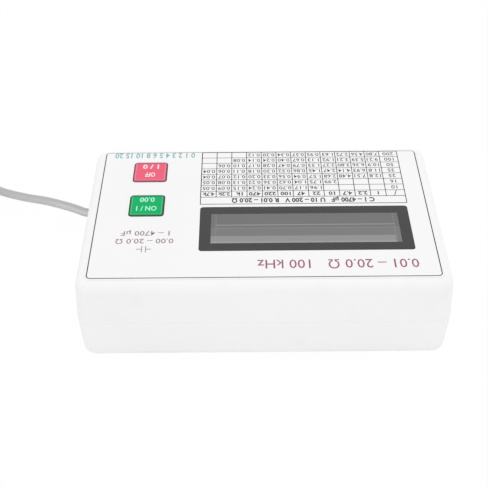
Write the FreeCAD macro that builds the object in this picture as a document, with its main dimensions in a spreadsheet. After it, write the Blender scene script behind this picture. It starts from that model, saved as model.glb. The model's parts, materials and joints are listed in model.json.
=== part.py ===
"""Handheld component tester: a two-shell case with a display, two keys and a test lead, as separate parts.

Lengths are millimetres. The origin is the middle of the case's underside, +X runs along the case to the
right of someone who reads the panel, +Y towards the panel's upper edge and +Z up through the panel.
"""

import FreeCAD, Part
import math
import os
import re
import Sketcher

Vector = FreeCAD.Vector

SIZES = {
    # Case shells
    "case_length": 124.0,
    "case_width": 80.0,
    "case_height": 31.6,
    "parting_height": 15.7,
    "wall": 2.2,
    "panel_thickness": 2.0,
    "floor_thickness": 2.2,
    "top_draft": 2.5,
    "bottom_draft": 3.2,
    "corner_radius": 4.7,
    "top_edge_radius": 2.9,
    "bottom_edge_radius": 2.3,
    "seam_chamfer": 0.2,
    "lip_height": 1.5,
    "lip_thickness": 1.1,
    "lip_step": 0.2,
    "lip_clearance": 0.15,
    # Case screws and the bosses that take them
    "boss_inset": 7.2,
    "boss_diameter": 7.0,
    "screw_hole": 3.0,
    "screw_recess": 6.0,
    "screw_recess_depth": 7.0,
    "case_screw_head": 5.4,
    "case_screw_head_height": 2.0,
    "case_screw_length": 14.0,
    "cross_width": 0.7,
    "cross_reach": 3.2,
    "cross_depth": 1.2,
    "screw_core": 2.4,
    "screw_clearance": 0.05,
    "pilot_spare": 1.5,
    # Front label
    "label_end_margin": 3.8,
    "label_side_margin": 3.9,
    "label_radius": 1.8,
    "label_thickness": 0.3,
    # Display lens and the opening under it
    "display_inset": 47.5,
    "display_y": 10.0,
    "lens_length": 72.2,
    "lens_width": 24.0,
    "lens_thickness": 1.5,
    "lens_radius": 1.0,
    "lens_clearance": 0.1,
    "view_length": 64.5,
    "view_width": 16.0,
    "view_margin": 1.0,
    # Display module
    "bezel_length": 71.2,
    "bezel_width": 25.2,
    "bezel_height": 7.3,
    "bezel_sheet": 0.5,
    "bezel_clearance": 0.3,
    "bezel_tab_length": 4.0,
    "bezel_tab_reach": 1.2,
    "bezel_tab_x": 20.0,
    "glass_thickness": 2.8,
    "glass_clearance": 0.25,
    "contact_strip_width": 2.0,
    "guide_clearance": 0.3,
    "lcd_board_length": 79.0,
    "lcd_board_width": 30.0,
    "board_thickness": 1.6,
    "lcd_hole_x": 37.5,
    "lcd_hole_y": 12.5,
    "lcd_hole": 2.3,
    "chip_blob_diameter": 13.0,
    "chip_blob_height": 1.6,
    "chip_blob_x": 17.0,
    "lcd_screw_diameter": 2.0,
    "lcd_screw_head": 3.4,
    "lcd_screw_head_height": 1.4,
    "lcd_screw_overhang": 0.8,
    "nut_flats": 4.0,
    "nut_height": 1.6,
    "standoff_diameter": 4.0,
    # Header between display and main board
    "pin_pitch": 2.54,
    "pin_width": 0.64,
    "header_width": 2.0,
    "header_inset": 8.0,
    "header_edge": 1.2,
    # Main board
    "board_level": 13.4,
    "board_margin": 2.3,
    "notch_clearance": 0.8,
    "battery_notch_gap_x": 9.6,
    "battery_notch_gap_y": 1.2,
    "post_step": 7.3,
    "post_from_notch": 6.5,
    "post_edge": 3.3,
    "post_diameter": 6.0,
    "board_hole": 2.9,
    "board_screw_head": 5.0,
    "board_screw_head_height": 1.9,
    "board_screw_length": 8.0,
    # Keys and their switches
    "key_inset": 21.5,
    "on_key_y": -3.15,
    "off_key_y": -23.4,
    "key_size": 11.8,
    "key_gap": 0.3,
    "key_radius": 1.0,
    "key_edge_radius": 0.35,
    "key_rise": 0.4,
    "key_play": 0.3,
    "key_flange_overhang": 1.0,
    "key_flange_thickness": 0.9,
    "key_stem_diameter": 5.6,
    "key_travel": 0.35,
    "switch_size": 6.0,
    "switch_height": 4.3,
    "switch_floor": 1.6,
    "switch_rise": 0.6,
    "plunger_diameter": 3.4,
    "plunger_clearance": 0.1,
    "plunger_head_diameter": 2.4,
    "plunger_head_height": 2.4,
    "dome_height": 0.25,
    # Parts on the main board
    "controller_step": 1.5,
    "controller_y": 14.5,
    "controller_length": 17.9,
    "controller_width": 7.5,
    "controller_height": 2.4,
    "controller_span": 10.3,
    "amplifier_step": 6.0,
    "amplifier_y": -12.5,
    "amplifier_length": 8.7,
    "amplifier_width": 3.9,
    "amplifier_height": 1.6,
    "amplifier_span": 6.0,
    "leg_pitch": 1.27,
    "leg_width": 0.42,
    "leg_sheet": 0.25,
    "chip_stand": 0.15,
    "crystal_drop": 4.4,
    "crystal_length": 11.0,
    "crystal_width": 4.7,
    "crystal_height": 3.5,
    "regulator_step": 14.5,
    "regulator_rise": 1.2,
    "regulator_length": 6.5,
    "regulator_width": 3.5,
    "regulator_height": 1.6,
    "regulator_tab": 3.0,
    "regulator_leg_width": 0.7,
    "regulator_leg_pitch": 2.3,
    "regulator_foot": 1.75,
    "capacitor_diameter": 6.3,
    "capacitor_height": 7.0,
    "capacitor_left_step": 10.0,
    "capacitor_left_drop": 3.9,
    "capacitor_right_step": 11.0,
    "capacitor_right_drop": 8.0,
    "capacitor_groove": 0.3,
    "capacitor_groove_height": 1.4,
    "capacitor_rim": 0.4,
    "diode_step": 9.0,
    "diode_y": -20.8,
    "diode_spacing": 5.0,
    "diode_diameter": 2.7,
    "diode_length": 5.2,
    "diode_span": 12.0,
    "diode_wire": 0.8,
    "diode_stand": 0.3,
    "resistor_length": 2.0,
    "resistor_width": 1.25,
    "resistor_height": 0.55,
    "resistor_pitch": 4.0,
    "resistor_spread": 11.0,
    "resistor_first_y": -13.0,
    # Battery
    "battery_end_gap": 9.3,
    "battery_wall_gap": 1.2,
    "battery_length": 46.4,
    "battery_width": 26.4,
    "battery_depth": 17.4,
    "battery_radius": 2.0,
    "battery_gap": 0.3,
    "rib_thickness": 1.5,
    "rib_height": 8.0,
    "terminal_spread": 12.7,
    "stud_diameter": 5.6,
    "socket_diameter": 8.0,
    "terminal_height": 2.2,
    "snap_length": 25.0,
    "snap_width": 12.4,
    "snap_thickness": 4.6,
    "snap_gap": 0.15,
    "battery_wire_diameter": 1.4,
    "battery_wire_drop": 3.0,
    "battery_wire_spread": 5.0,
    "battery_wire_reach": 7.5,
    # Test lead where it enters the case
    "lead_diameter": 3.3,
    "lead_exit_inset": 12.7,
    "lead_exit_height": 9.6,
    "lead_inner_length": 8.5,
    "lead_joint_depth": 3.0,
    "bore_clearance": 0.06,
    "grommet_neck": 5.0,
    "grommet_flange": 7.2,
    "grommet_flange_thickness": 1.1,
    "grommet_clearance": 0.15,
    "tie_width": 2.0,
    "tie_band": 0.5,
    "tie_head": 3.4,
    "tie_depth": 3.0,
    "core_diameter": 1.0,
    "core_spread": 1.5,
    "core_reach": 4.0,
    # Coil of the put-away lead
    "coil_reach": 71.5,
    "coil_y": -47.2,
    "coil_mid_diameter": 33.0,
    "coil_pitch": 3.6,
    "coil_start_angle": -129.0,
    "coil_tie_angle": -39.0,
    "coil_tie_width": 4.5,
    "coil_tie_sheet": 0.5,
    "coil_tie_clearance": 0.35,
    # Split and probes
    "split_reach": 67.6,
    "split_y": -1.0,
    "split_length": 14.0,
    "split_width": 7.0,
    "split_height": 4.2,
    "split_radius": 1.2,
    "thin_lead_diameter": 2.0,
    "thin_lead_spread": 2.8,
    "red_probe_reach": 115.0,
    "black_probe_reach": 101.0,
    "red_probe_tail_y": 21.0,
    "black_probe_tail_y": 18.0,
    "probe_length": 74.0,
    "probe_diameter": 7.6,
    "probe_nose_diameter": 4.4,
    "probe_ring_diameter": 10.0,
    "probe_ring_width": 2.4,
    "probe_grip_length": 24.0,
    "probe_neck_length": 9.0,
    "tip_diameter": 1.8,
    "tip_length": 14.0,
    "tip_point": 5.0,
    "tip_seat": 6.0,
}

# Counts, which aren't lengths
HEADER_PINS = 16
RESISTORS_PER_ROW = 6
COIL_LAYER_TURNS = 2
COIL_CLIMB_TURNS = 0.5

# Levels and places that follow from the sizes
SHELL_TOP = "(case_height - label_thickness)"
PANEL_UNDER = f"({SHELL_TOP} - panel_thickness)"
LENS_UNDER = "(case_height - lens_thickness)"
BEZEL_TOP = f"({PANEL_UNDER} - bezel_clearance)"
LCD_BOARD_TOP = f"({BEZEL_TOP} - bezel_height)"
LCD_BOARD_UNDER = f"({LCD_BOARD_TOP} - board_thickness)"
GLASS_UNDER = f"({BEZEL_TOP} - bezel_sheet - glass_thickness)"
BOARD_TOP = "(board_level + board_thickness)"
SWITCH_TOP = f"({BOARD_TOP} + switch_height)"
PLUNGER_SHOULDER = f"({SWITCH_TOP} + switch_rise)"
PLUNGER_UNDER = f"({BOARD_TOP} + switch_floor + dome_height + key_travel + plunger_clearance)"
KEY_TOP = "(case_height + key_rise)"
KEY_FLANGE_TOP = f"({PANEL_UNDER} - key_play)"
KEY_FLANGE_UNDER = f"({KEY_FLANGE_TOP} - key_flange_thickness)"
KEY_HOLE = "(key_size + 2 * key_gap)"
BOSS_X = "(case_length / 2 - boss_inset)"
BOSS_Y = "(case_width / 2 - boss_inset)"
LABEL_LENGTH = "(case_length - 2 * label_end_margin)"
LABEL_WIDTH = "(case_width - 2 * label_side_margin)"
DISPLAY_X = "(display_inset - case_length / 2)"
KEY_X = "(case_length / 2 - key_inset)"
LIP_LENGTH = "(case_length - 2 * wall + 2 * lip_thickness)"
LIP_WIDTH = "(case_width - 2 * wall + 2 * lip_thickness)"
LIP_RADIUS = "(corner_radius - wall + lip_thickness)"
INNER_RADIUS = "(corner_radius - wall)"
INNER_LENGTH = "(case_length - 2 * wall)"
INNER_WIDTH = "(case_width - 2 * wall)"
MAIN_BOARD_LENGTH = f"({INNER_LENGTH} - 2 * board_margin)"
MAIN_BOARD_WIDTH = f"({INNER_WIDTH} - 2 * board_margin)"
POST_X = f"({BOSS_X} - post_step)"
POST_Y = f"({MAIN_BOARD_WIDTH} / 2 - post_edge)"
PILOT_HOLE = "(screw_core + 2 * screw_clearance)"
BATTERY_X = f"(battery_end_gap - {INNER_LENGTH} / 2)"
BATTERY_Y = f"(battery_wall_gap + battery_width / 2 - {INNER_WIDTH} / 2)"
BATTERY_END = f"({BATTERY_X} + battery_length)"
BATTERY_NOTCH_X = f"({BATTERY_END} + battery_notch_gap_x)"
BATTERY_NOTCH_Y = f"({BATTERY_Y} + battery_width / 2 + battery_notch_gap_y)"
BATTERY_MIDDLE = "(floor_thickness + battery_depth / 2)"
SNAP_END = f"({BATTERY_END} + snap_gap + snap_thickness)"
COIL_INNER = f"(coil_mid_diameter / 2 - coil_pitch * {(COIL_LAYER_TURNS + COIL_CLIMB_TURNS / 2) / 2})"
LEAD_EXIT_Y = "(lead_exit_inset - case_width / 2)"
LEAD_JOINT_X = "(case_length / 2 - lead_joint_depth)"
LEAD_INNER_X = f"({LEAD_JOINT_X} - lead_inner_length)"
COIL_X = "(case_length / 2 + coil_reach)"
SPLIT_X = "(case_length / 2 + split_reach)"
PROBES = [
    ("(case_length / 2 + red_probe_reach)", "red_probe_tail_y"),
    ("(case_length / 2 + black_probe_reach)", "black_probe_tail_y"),
]
LEAD_BORE = "(lead_diameter + 2 * bore_clearance)"
PROBE_AXIS = "(probe_ring_diameter / 2)"
WALL_AT_LEAD = "(case_length / 2 - (parting_height - lead_exit_height) * tan(bottom_draft * 1 deg))"
FLANGE_GAP = "(grommet_clearance / 2 + grommet_flange / 2 * tan(bottom_draft * 1 deg))"
CORNERS = [(1, 1), (-1, 1), (-1, -1), (1, -1)]
KEYS = {"on_key": "on_key_y", "off_key": "off_key_y"}

doc = FreeCAD.newDocument("ComponentTester")
sheet = doc.addObject("Spreadsheet::Sheet", "Sizes")
for row, (size_name, size_value) in enumerate(SIZES.items(), start=1):
    sheet.set(f"A{row}", size_name)
    sheet.set(f"B{row}", str(size_value))
    sheet.setAlias(f"B{row}", size_name)
doc.recompute()

WORD = re.compile(r"[a-z_]+")
NODES = []


# Formulas and bindings

def formula(text):
    """The text with each size's name turned into a reference to its cell."""
    return WORD.sub(lambda m: f"Sizes.{m.group()}" if m.group() in SIZES else m.group(), str(text))


def value(text):
    """The number that a formula gives now."""
    return float(sheet.evalExpression(formula(text)))


def bind(thing, prop, text):
    thing.setExpression(prop, formula(text))


def node(thing, label):
    """Marks a finished object as one of the parts that are written out."""
    thing.Label = label
    NODES.append(thing)
    return thing


# Sketches and features of a body

def new_body(label):
    return doc.addObject("PartDesign::Body", label)


def new_sketch(body, level="0", role="XY_Plane"):
    """A sketch on one of the body's own planes, raised by level along the plane's normal."""
    sketch = body.newObject("Sketcher::SketchObject", body.Name + "_sketch")
    plane = next(item for item in body.Origin.OriginFeatures if item.Role == role)
    sketch.AttachmentSupport = (plane, [""])
    sketch.MapMode = "FlatFace"
    bind(sketch, "AttachmentOffset.Base.z", level)
    return sketch


def pin_point(sketch, index, position, across, up):
    """Fixes a sketch point by its two distances from the sketch's origin."""
    for kind, text in (("DistanceX", across), ("DistanceY", up)):
        limit = Sketcher.Constraint(kind, -1, 1, index, position, value(text))
        bind(sketch, f"Constraints[{sketch.addConstraint(limit)}]", text)


def draw_polygon(sketch, points):
    places = [Vector(value(across), value(up), 0) for across, up in points]
    first = sketch.GeometryCount
    count = len(points)
    for i in range(count):
        sketch.addGeometry(Part.LineSegment(places[i], places[(i + 1) % count]), False)
    for i in range(count):
        sketch.addConstraint(Sketcher.Constraint("Coincident", first + i, 2, first + (i + 1) % count, 1))
    for i, (across, up) in enumerate(points):
        pin_point(sketch, first + i, 1, across, up)


def draw_rectangle(sketch, across, up, length, width):
    """A rectangle about its middle."""
    left = f"{across} - {length} / 2"
    right = f"{across} + {length} / 2"
    low = f"{up} - {width} / 2"
    high = f"{up} + {width} / 2"
    draw_polygon(sketch, [(left, low), (right, low), (right, high), (left, high)])


def draw_rounded_rectangle(sketch, across, up, length, width, radius):
    """A rectangle about its middle whose corners are quarter circles."""
    sides = []
    for turn in range(4):
        step_x, step_y = CORNERS[turn]
        end_x, end_y = CORNERS[(turn + 1) % 4]
        level = turn % 2 == 0
        start = (f"{across} + {step_x} * ({length} / 2 - {radius if level else 0})",
                 f"{up} + {step_y} * ({width} / 2 - {0 if level else radius})")
        end = (f"{across} + {end_x} * ({length} / 2 - {radius if level else 0})",
               f"{up} + {end_y} * ({width} / 2 - {0 if level else radius})")
        sides.append((start, end))
    first = sketch.GeometryCount
    spots = [[Vector(value(x), value(y), 0) for x, y in side] for side in sides]
    for spot in spots:
        sketch.addGeometry(Part.LineSegment(*spot), False)
    for i, side in enumerate(sides):
        pin_point(sketch, first + i, 1, *side[0])
        pin_point(sketch, first + i, 2, *side[1])
    for i in range(4):
        begin, finish = spots[i][1], spots[(i + 1) % 4][0]
        direction = (spots[i][1] - spots[i][0]).normalize()
        arc, _ = arc_on(begin, direction, finish)
        index = sketch.addGeometry(arc, False)
        sketch.addConstraint(Sketcher.Constraint("Coincident", index, 1, first + i, 2))
        sketch.addConstraint(Sketcher.Constraint("Coincident", index, 2, first + (i + 1) % 4, 1))
        limit = Sketcher.Constraint("Radius", index, value(radius))
        bind(sketch, f"Constraints[{sketch.addConstraint(limit)}]", radius)


def draw_circle(sketch, across, up, diameter):
    place = Vector(value(across), value(up), 0)
    index = sketch.addGeometry(Part.Circle(place, Vector(0, 0, 1), value(diameter) / 2), False)
    pin_point(sketch, index, 3, across, up)
    limit = Sketcher.Constraint("Diameter", index, value(diameter))
    bind(sketch, f"Constraints[{sketch.addConstraint(limit)}]", diameter)


def extrude(kind, body, sketch, length, back):
    feature = body.newObject(kind, body.Name + "_feature")
    feature.Profile = sketch
    bind(feature, "Length", length)
    feature.Reversed = back
    doc.recompute()
    return feature


def pad(body, sketch, length, back=False):
    """Adds material along the sketch's normal, or against it."""
    return extrude("PartDesign::Pad", body, sketch, length, back)


def pocket(body, sketch, depth, along=False):
    """Cuts against the sketch's normal, or along it. A cut that takes nothing away is an error."""
    before = body.Shape.Volume
    feature = extrude("PartDesign::Pocket", body, sketch, depth, along)
    if body.Shape.Volume > before - 1e-6:
        raise RuntimeError(f"{feature.Name} of {body.Label} cuts nothing")
    return feature


def draft(body, angle, level, length, width, flip):
    """Leans the four walls of a rectangle in plan about a level, so that they draw in away from it."""
    height = value(level)
    places = {(value(length) / 2, 0), (value(width) / 2, 1)}

    def is_wall(face):
        middle = face.CenterOfMass
        flat = isinstance(face.Surface, Part.Plane)
        return flat and any(abs(abs(middle[axis]) - place) < 1e-4 for place, axis in places)

    def is_base(face):
        return isinstance(face.Surface, Part.Plane) and face.BoundBox.ZLength < 1e-6 and abs(
            face.CenterOfMass.z - height) < 1e-4

    base = body.Tip
    feature = body.newObject("PartDesign::Draft", body.Name + "_draft")
    feature.Base = (base, pick("Face", base.Shape.Faces, is_wall))
    feature.NeutralPlane = (base, pick("Face", base.Shape.Faces, is_base)[:1])
    bind(feature, "Angle", angle)
    feature.Reversed = flip
    doc.recompute()
    return feature


def revolve(body, points, axis="V_Axis"):
    """Turns a profile, drawn on the XZ plane as distance from the axis and height, about +Z."""
    sketch = new_sketch(body, "0", "XZ_Plane")
    draw_polygon(sketch, points)
    feature = body.newObject("PartDesign::Revolution", body.Name + "_revolution")
    feature.Profile = sketch
    feature.ReferenceAxis = (sketch, [axis])
    feature.Angle = 360
    doc.recompute()
    return feature


def pick(kind, items, test):
    """The names of the edges or faces that pass a test."""
    return [f"{kind}{i}" for i, item in enumerate(items, start=1) if test(item)]


def dress(kind, body, prop, size, test):
    base = body.Tip
    names = pick("Edge", base.Shape.Edges, test)
    if not names:
        raise RuntimeError(f"{body.Label} has no edge to dress")
    feature = body.newObject(kind, body.Name + "_dress")
    feature.Base = (base, names)
    bind(feature, prop, size)
    doc.recompute()
    return feature


def fillet(body, radius, test):
    return dress("PartDesign::Fillet", body, "Radius", radius, test)


def chamfer(body, size, test):
    return dress("PartDesign::Chamfer", body, "Size", size, test)


def is_upright(edge):
    """True for a straight edge within a mould's draft of +Z."""
    if not isinstance(edge.Curve, Part.Line):
        return False
    return abs(edge.Curve.Direction.z) > 0.99


def lies_at(level):
    """A test for edges that lie flat at a height."""
    height = value(level)
    return lambda edge: all(abs(v.Z - height) < 1e-4 for v in edge.Vertexes)


def in_corners(length, width):
    """A test for upright edges at the corners of a rectangle about the origin, or a draft's lean inside them."""
    least_x = value(f"{length} / 2 - wall")
    least_y = value(f"{width} / 2 - wall")

    def test(edge):
        middle = edge.CenterOfMass
        return is_upright(edge) and abs(middle.x) > least_x and abs(middle.y) > least_y

    return test


# Plain solids and their combinations

def new_solid(kind, label, place, **sizes):
    solid = doc.addObject(kind, label)
    for prop, text in sizes.items():
        bind(solid, prop, text)
    for axis, text in zip("xyz", place):
        bind(solid, f"Placement.Base.{axis}", text)
    return solid


def box(label, middle_x, middle_y, low_z, length, width, height):
    """A box that stands on low_z, about its middle in plan."""
    place = (f"{middle_x} - ({length}) / 2", f"{middle_y} - ({width}) / 2", low_z)
    return new_solid("Part::Box", label, place, Length=length, Width=width, Height=height)


def cylinder(label, x, y, low_z, diameter, height, turned=None):
    """A cylinder from low_z up, or from that point along another axis."""
    solid = new_solid("Part::Cylinder", label, (x, y, low_z), Radius=f"({diameter}) / 2", Height=height)
    if turned:
        solid.Placement.Rotation = FreeCAD.Rotation(Vector(0, 0, 1), turned)
    return solid


def cut(label, base, tool):
    result = doc.addObject("Part::Cut", label)
    result.Base = base
    result.Tool = tool
    return result


def fuse(label, members):
    result = doc.addObject("Part::MultiFuse", label)
    result.Shapes = members
    return result


def group(label, members):
    """Several separate solids as one part."""
    result = doc.addObject("Part::Compound", label)
    result.Links = members
    return result


def copy_at(label, original, x, y, z):
    """A linked copy of an object that is modelled about the origin."""
    link = doc.addObject("App::Link", label)
    link.LinkedObject = original
    for axis, text in zip("xyz", (x, y, z)):
        bind(link, f"Placement.Base.{axis}", text)
    return link


def set_of_copies(label, original, places):
    return group(label, [copy_at(f"{label}_copy", original, *place) for place in places])


def sign(number, text):
    return text if number > 0 else f"-{text}"


def corner_places(x, y, z, middle_x="0", middle_y="0"):
    return [(f"{middle_x} + {sign(i, x)}", f"{middle_y} + {sign(j, y)}", z) for i, j in CORNERS]


# Case shells

BOSSES = corner_places(BOSS_X, BOSS_Y, "0")


def make_tray(label, height, depth, lean, edge_radius, outer_level, upwards):
    """A drafted tray with rounded corners and edges, open at the parting plane, and a boss in each corner."""
    body = new_body(label)
    outer = new_sketch(body, "parting_height")
    draw_rectangle(outer, "0", "0", "case_length", "case_width")
    pad(body, outer, height, back=not upwards)
    draft(body, lean, "parting_height", "case_length", "case_width", flip=not upwards)
    fillet(body, "corner_radius", is_upright)
    fillet(body, edge_radius, lies_at(outer_level))
    chamfer(body, "seam_chamfer", lies_at("parting_height"))

    inner = new_sketch(body, "parting_height")
    draw_rectangle(inner, "0", "0", INNER_LENGTH, INNER_WIDTH)
    for x, y, _ in BOSSES:
        draw_circle(inner, x, y, "boss_diameter")
    pocket(body, inner, depth, along=upwards)
    draft(body, lean, "parting_height", INNER_LENGTH, INNER_WIDTH, flip=upwards)
    fillet(body, INNER_RADIUS, in_corners(INNER_LENGTH, INNER_WIDTH))
    return body


def drill(body, places, level, diameter, depth, upwards=False):
    sketch = new_sketch(body, level)
    for x, y, _ in places:
        draw_circle(sketch, x, y, diameter)
    pocket(body, sketch, depth, along=upwards)


def make_top_shell():
    body = make_tray("top_shell", f"{SHELL_TOP} - parting_height", f"{PANEL_UNDER} - parting_height",
                     "top_draft", "top_edge_radius", SHELL_TOP, upwards=True)

    groove = new_sketch(body, "parting_height")
    groove_length = f"({LIP_LENGTH} + 2 * lip_clearance)"
    groove_width = f"({LIP_WIDTH} + 2 * lip_clearance)"
    draw_rounded_rectangle(groove, "0", "0", groove_length, groove_width, f"({LIP_RADIUS} + lip_clearance)")
    pocket(body, groove, "lip_height + lip_clearance", along=True)

    seat = new_sketch(body, SHELL_TOP)
    seat_length = "(lens_length + 2 * lens_clearance)"
    seat_width = "(lens_width + 2 * lens_clearance)"
    draw_rectangle(seat, DISPLAY_X, "display_y", seat_length, seat_width)
    pocket(body, seat, f"{SHELL_TOP} - {LENS_UNDER}")

    openings = new_sketch(body, SHELL_TOP)
    view_length = "(view_length + 2 * view_margin)"
    view_width = "(view_width + 2 * view_margin)"
    draw_rectangle(openings, DISPLAY_X, "display_y", view_length, view_width)
    for key_y in KEYS.values():
        draw_rectangle(openings, KEY_X, key_y, KEY_HOLE, KEY_HOLE)
    pocket(body, openings, "panel_thickness")

    pilot_depth = "(screw_recess_depth + case_screw_length - parting_height + pilot_spare)"
    drill(body, BOSSES, "parting_height", PILOT_HOLE, pilot_depth, upwards=True)
    node(body, "top_shell")


def add_battery_ribs(body):
    """Two walls that hold the battery against the case's near wall."""
    left = f"({BATTERY_X} - battery_gap - rib_thickness)"
    inner_left = f"({BATTERY_X} - battery_gap)"
    top = f"({BATTERY_Y} + battery_width / 2 + battery_gap)"
    low = f"({BATTERY_Y} - battery_width / 4)"
    ribs = new_sketch(body, "floor_thickness / 2")
    draw_polygon(ribs, [
        (left, low),
        (inner_left, low),
        (inner_left, top),
        (BATTERY_END, top),
        (BATTERY_END, f"{top} + rib_thickness"),
        (left, f"{top} + rib_thickness"),
    ])
    pad(body, ribs, "rib_height + floor_thickness / 2")


def make_bottom_shell():
    body = make_tray("bottom_shell", "parting_height", "parting_height - floor_thickness",
                     "bottom_draft", "bottom_edge_radius", "0", upwards=False)

    lip = new_sketch(body, "parting_height")
    draw_rounded_rectangle(lip, "0", "0", LIP_LENGTH, LIP_WIDTH, LIP_RADIUS)
    draw_rounded_rectangle(lip, "0", "0", f"({INNER_LENGTH} + 2 * lip_step)", f"({INNER_WIDTH} + 2 * lip_step)",
                           f"({INNER_RADIUS} + lip_step)")
    pad(body, lip, "lip_height")

    drill(body, BOSSES, "0", "screw_recess", "screw_recess_depth", upwards=True)
    drill(body, BOSSES, "screw_recess_depth", "screw_hole", "parting_height - screw_recess_depth", upwards=True)

    posts = new_sketch(body, "floor_thickness / 2")
    for x, y, _ in POSTS:
        draw_circle(posts, x, y, "post_diameter")
    pad(body, posts, "board_level - floor_thickness / 2")
    pilot_depth = "(board_screw_length - board_thickness + pilot_spare)"
    drill(body, POSTS, "board_level", PILOT_HOLE, pilot_depth)
    add_battery_ribs(body)

    lead_hole = new_sketch(body, "case_length / 2 - 2 * wall", "YZ_Plane")
    draw_circle(lead_hole, LEAD_EXIT_Y, "lead_exit_height", "(grommet_neck + 2 * grommet_clearance)")
    pocket(body, lead_hole, "2 * wall", along=True)
    node(body, "bottom_shell")


POSTS = [
    (POST_X, POST_Y, "board_level"),
    (f"-{POST_X}", POST_Y, "board_level"),
    (POST_X, f"-{POST_Y}", "board_level"),
    (f"{BATTERY_NOTCH_X} + post_from_notch", f"-{POST_Y}", "board_level"),
]


def make_screw(label, head, head_height, shank, length):
    """A pan-head screw about the origin: head above z = 0, shank below."""
    body = new_body(label)
    revolve(body, [
        ("0", f"-{length}"),
        (f"{shank} / 4", f"-{length}"),
        (f"{shank} / 2", f"-{length} + {shank} / 2"),
        (f"{shank} / 2", "0"),
        (f"{head} / 2", "0"),
        (f"{head} / 2", f"{head_height} / 2"),
        (f"{head} / 3", head_height),
        ("0", head_height),
    ])
    return body


def make_case_screws():
    """Four screws driven up from the underside, heads down."""
    body = new_body("case_screw")
    revolve(body, [
        ("0", "-case_screw_head_height"),
        ("case_screw_head / 3", "-case_screw_head_height"),
        ("case_screw_head / 2", "-case_screw_head_height / 2"),
        ("case_screw_head / 2", "0"),
        ("screw_core / 2", "0"),
        ("screw_core / 2", "case_screw_length - screw_core / 2"),
        ("screw_core / 4", "case_screw_length"),
        ("0", "case_screw_length"),
    ])
    recess = new_sketch(body, "-case_screw_head_height")
    wide, reach = "cross_width / 2", "cross_reach / 2"
    draw_polygon(recess, [
        (wide, wide), (wide, reach), (f"-{wide}", reach), (f"-{wide}", wide),
        (f"-{reach}", wide), (f"-{reach}", f"-{wide}"), (f"-{wide}", f"-{wide}"), (f"-{wide}", f"-{reach}"),
        (wide, f"-{reach}"), (wide, f"-{wide}"), (reach, f"-{wide}"), (reach, wide),
    ])
    pocket(body, recess, "cross_depth", along=True)
    node(set_of_copies("case_screws", body, corner_places(BOSS_X, BOSS_Y, "screw_recess_depth")), "case_screws")


# Panel: label, lens and keys

def make_front_label():
    body = new_body("front_label")
    sheet_sketch = new_sketch(body, SHELL_TOP)
    draw_rounded_rectangle(sheet_sketch, "0", "0", LABEL_LENGTH, LABEL_WIDTH, "label_radius")
    opening_length = "(lens_length + 2 * lens_clearance)"
    opening_width = "(lens_width + 2 * lens_clearance)"
    opening_radius = "(lens_radius + lens_clearance)"
    draw_rounded_rectangle(sheet_sketch, DISPLAY_X, "display_y", opening_length, opening_width, opening_radius)
    for key_y in KEYS.values():
        draw_rounded_rectangle(sheet_sketch, KEY_X, key_y, KEY_HOLE, KEY_HOLE, "(key_radius + key_gap)")
    pad(body, sheet_sketch, "label_thickness")
    node(body, "front_label")


def make_display_lens():
    body = new_body("display_lens")
    outline = new_sketch(body, LENS_UNDER)
    draw_rounded_rectangle(outline, DISPLAY_X, "display_y", "lens_length", "lens_width", "lens_radius")
    pad(body, outline, "lens_thickness")
    node(body, "display_lens")


def make_key_cap(label, key_y):
    """A square cap, a flange that holds it under the panel and a stem down to the switch."""
    body = new_body(label)
    cap = new_sketch(body, KEY_FLANGE_TOP)
    draw_rounded_rectangle(cap, KEY_X, key_y, "key_size", "key_size", "key_radius")
    pad(body, cap, f"{KEY_TOP} - {KEY_FLANGE_TOP}")
    fillet(body, "key_edge_radius", lies_at(KEY_TOP))

    flange_size = "(key_size + 2 * key_flange_overhang)"
    flange = new_sketch(body, KEY_FLANGE_UNDER)
    draw_rectangle(flange, KEY_X, key_y, flange_size, flange_size)
    pad(body, flange, "key_flange_thickness")

    stem = new_sketch(body, PLUNGER_SHOULDER)
    draw_circle(stem, KEY_X, key_y, "key_stem_diameter")
    pad(body, stem, f"{KEY_FLANGE_UNDER} - {PLUNGER_SHOULDER}")

    socket = new_sketch(body, PLUNGER_SHOULDER)
    draw_circle(socket, KEY_X, key_y, "(plunger_head_diameter + 2 * screw_clearance)")
    pocket(body, socket, "plunger_head_height + screw_clearance", along=True)
    node(body, label)


def make_key_switches():
    """Two tactile switches: housings with a bore, snap domes and plungers."""
    housings = []
    domes = []
    for name, key_y in KEYS.items():
        housing = new_body(f"{name}_housing")
        base = new_sketch(housing, BOARD_TOP)
        draw_rectangle(base, KEY_X, key_y, "switch_size", "switch_size")
        pad(housing, base, "switch_height")
        chamfer(housing, "plunger_clearance * 5", is_upright)
        bore = new_sketch(housing, SWITCH_TOP)
        draw_circle(bore, KEY_X, key_y, "(plunger_diameter + 2 * plunger_clearance)")
        pocket(housing, bore, "switch_height - switch_floor")
        housings.append(housing)

        dome = new_body(f"{name}_dome")
        revolve(dome, [
            ("0", "0"),
            ("plunger_diameter / 2", "0"),
            ("plunger_diameter / 2", "dome_height / 2"),
            ("plunger_diameter / 6", "dome_height"),
            ("0", "dome_height"),
        ])
        domes.append(copy_at(f"{name}_dome_place", dome, KEY_X, key_y, f"{BOARD_TOP} + switch_floor"))

        plunger = new_body(f"{name}_plunger_form")
        shoulder = f"({PLUNGER_SHOULDER} - {PLUNGER_UNDER})"
        revolve(plunger, [
            ("0", "0"),
            ("plunger_diameter / 2", "0"),
            ("plunger_diameter / 2", shoulder),
            ("plunger_head_diameter / 2", shoulder),
            ("plunger_head_diameter / 2", f"{shoulder} + plunger_head_height"),
            ("0", f"{shoulder} + plunger_head_height"),
        ])
        place = [(KEY_X, key_y, PLUNGER_UNDER)]
        node(set_of_copies(f"{name}_plunger", plunger, place), f"{name}_plunger")
    node(group("key_switch_housings", housings), "key_switch_housings")
    node(group("key_switch_domes", domes), "key_switch_domes")


# Display module

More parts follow.
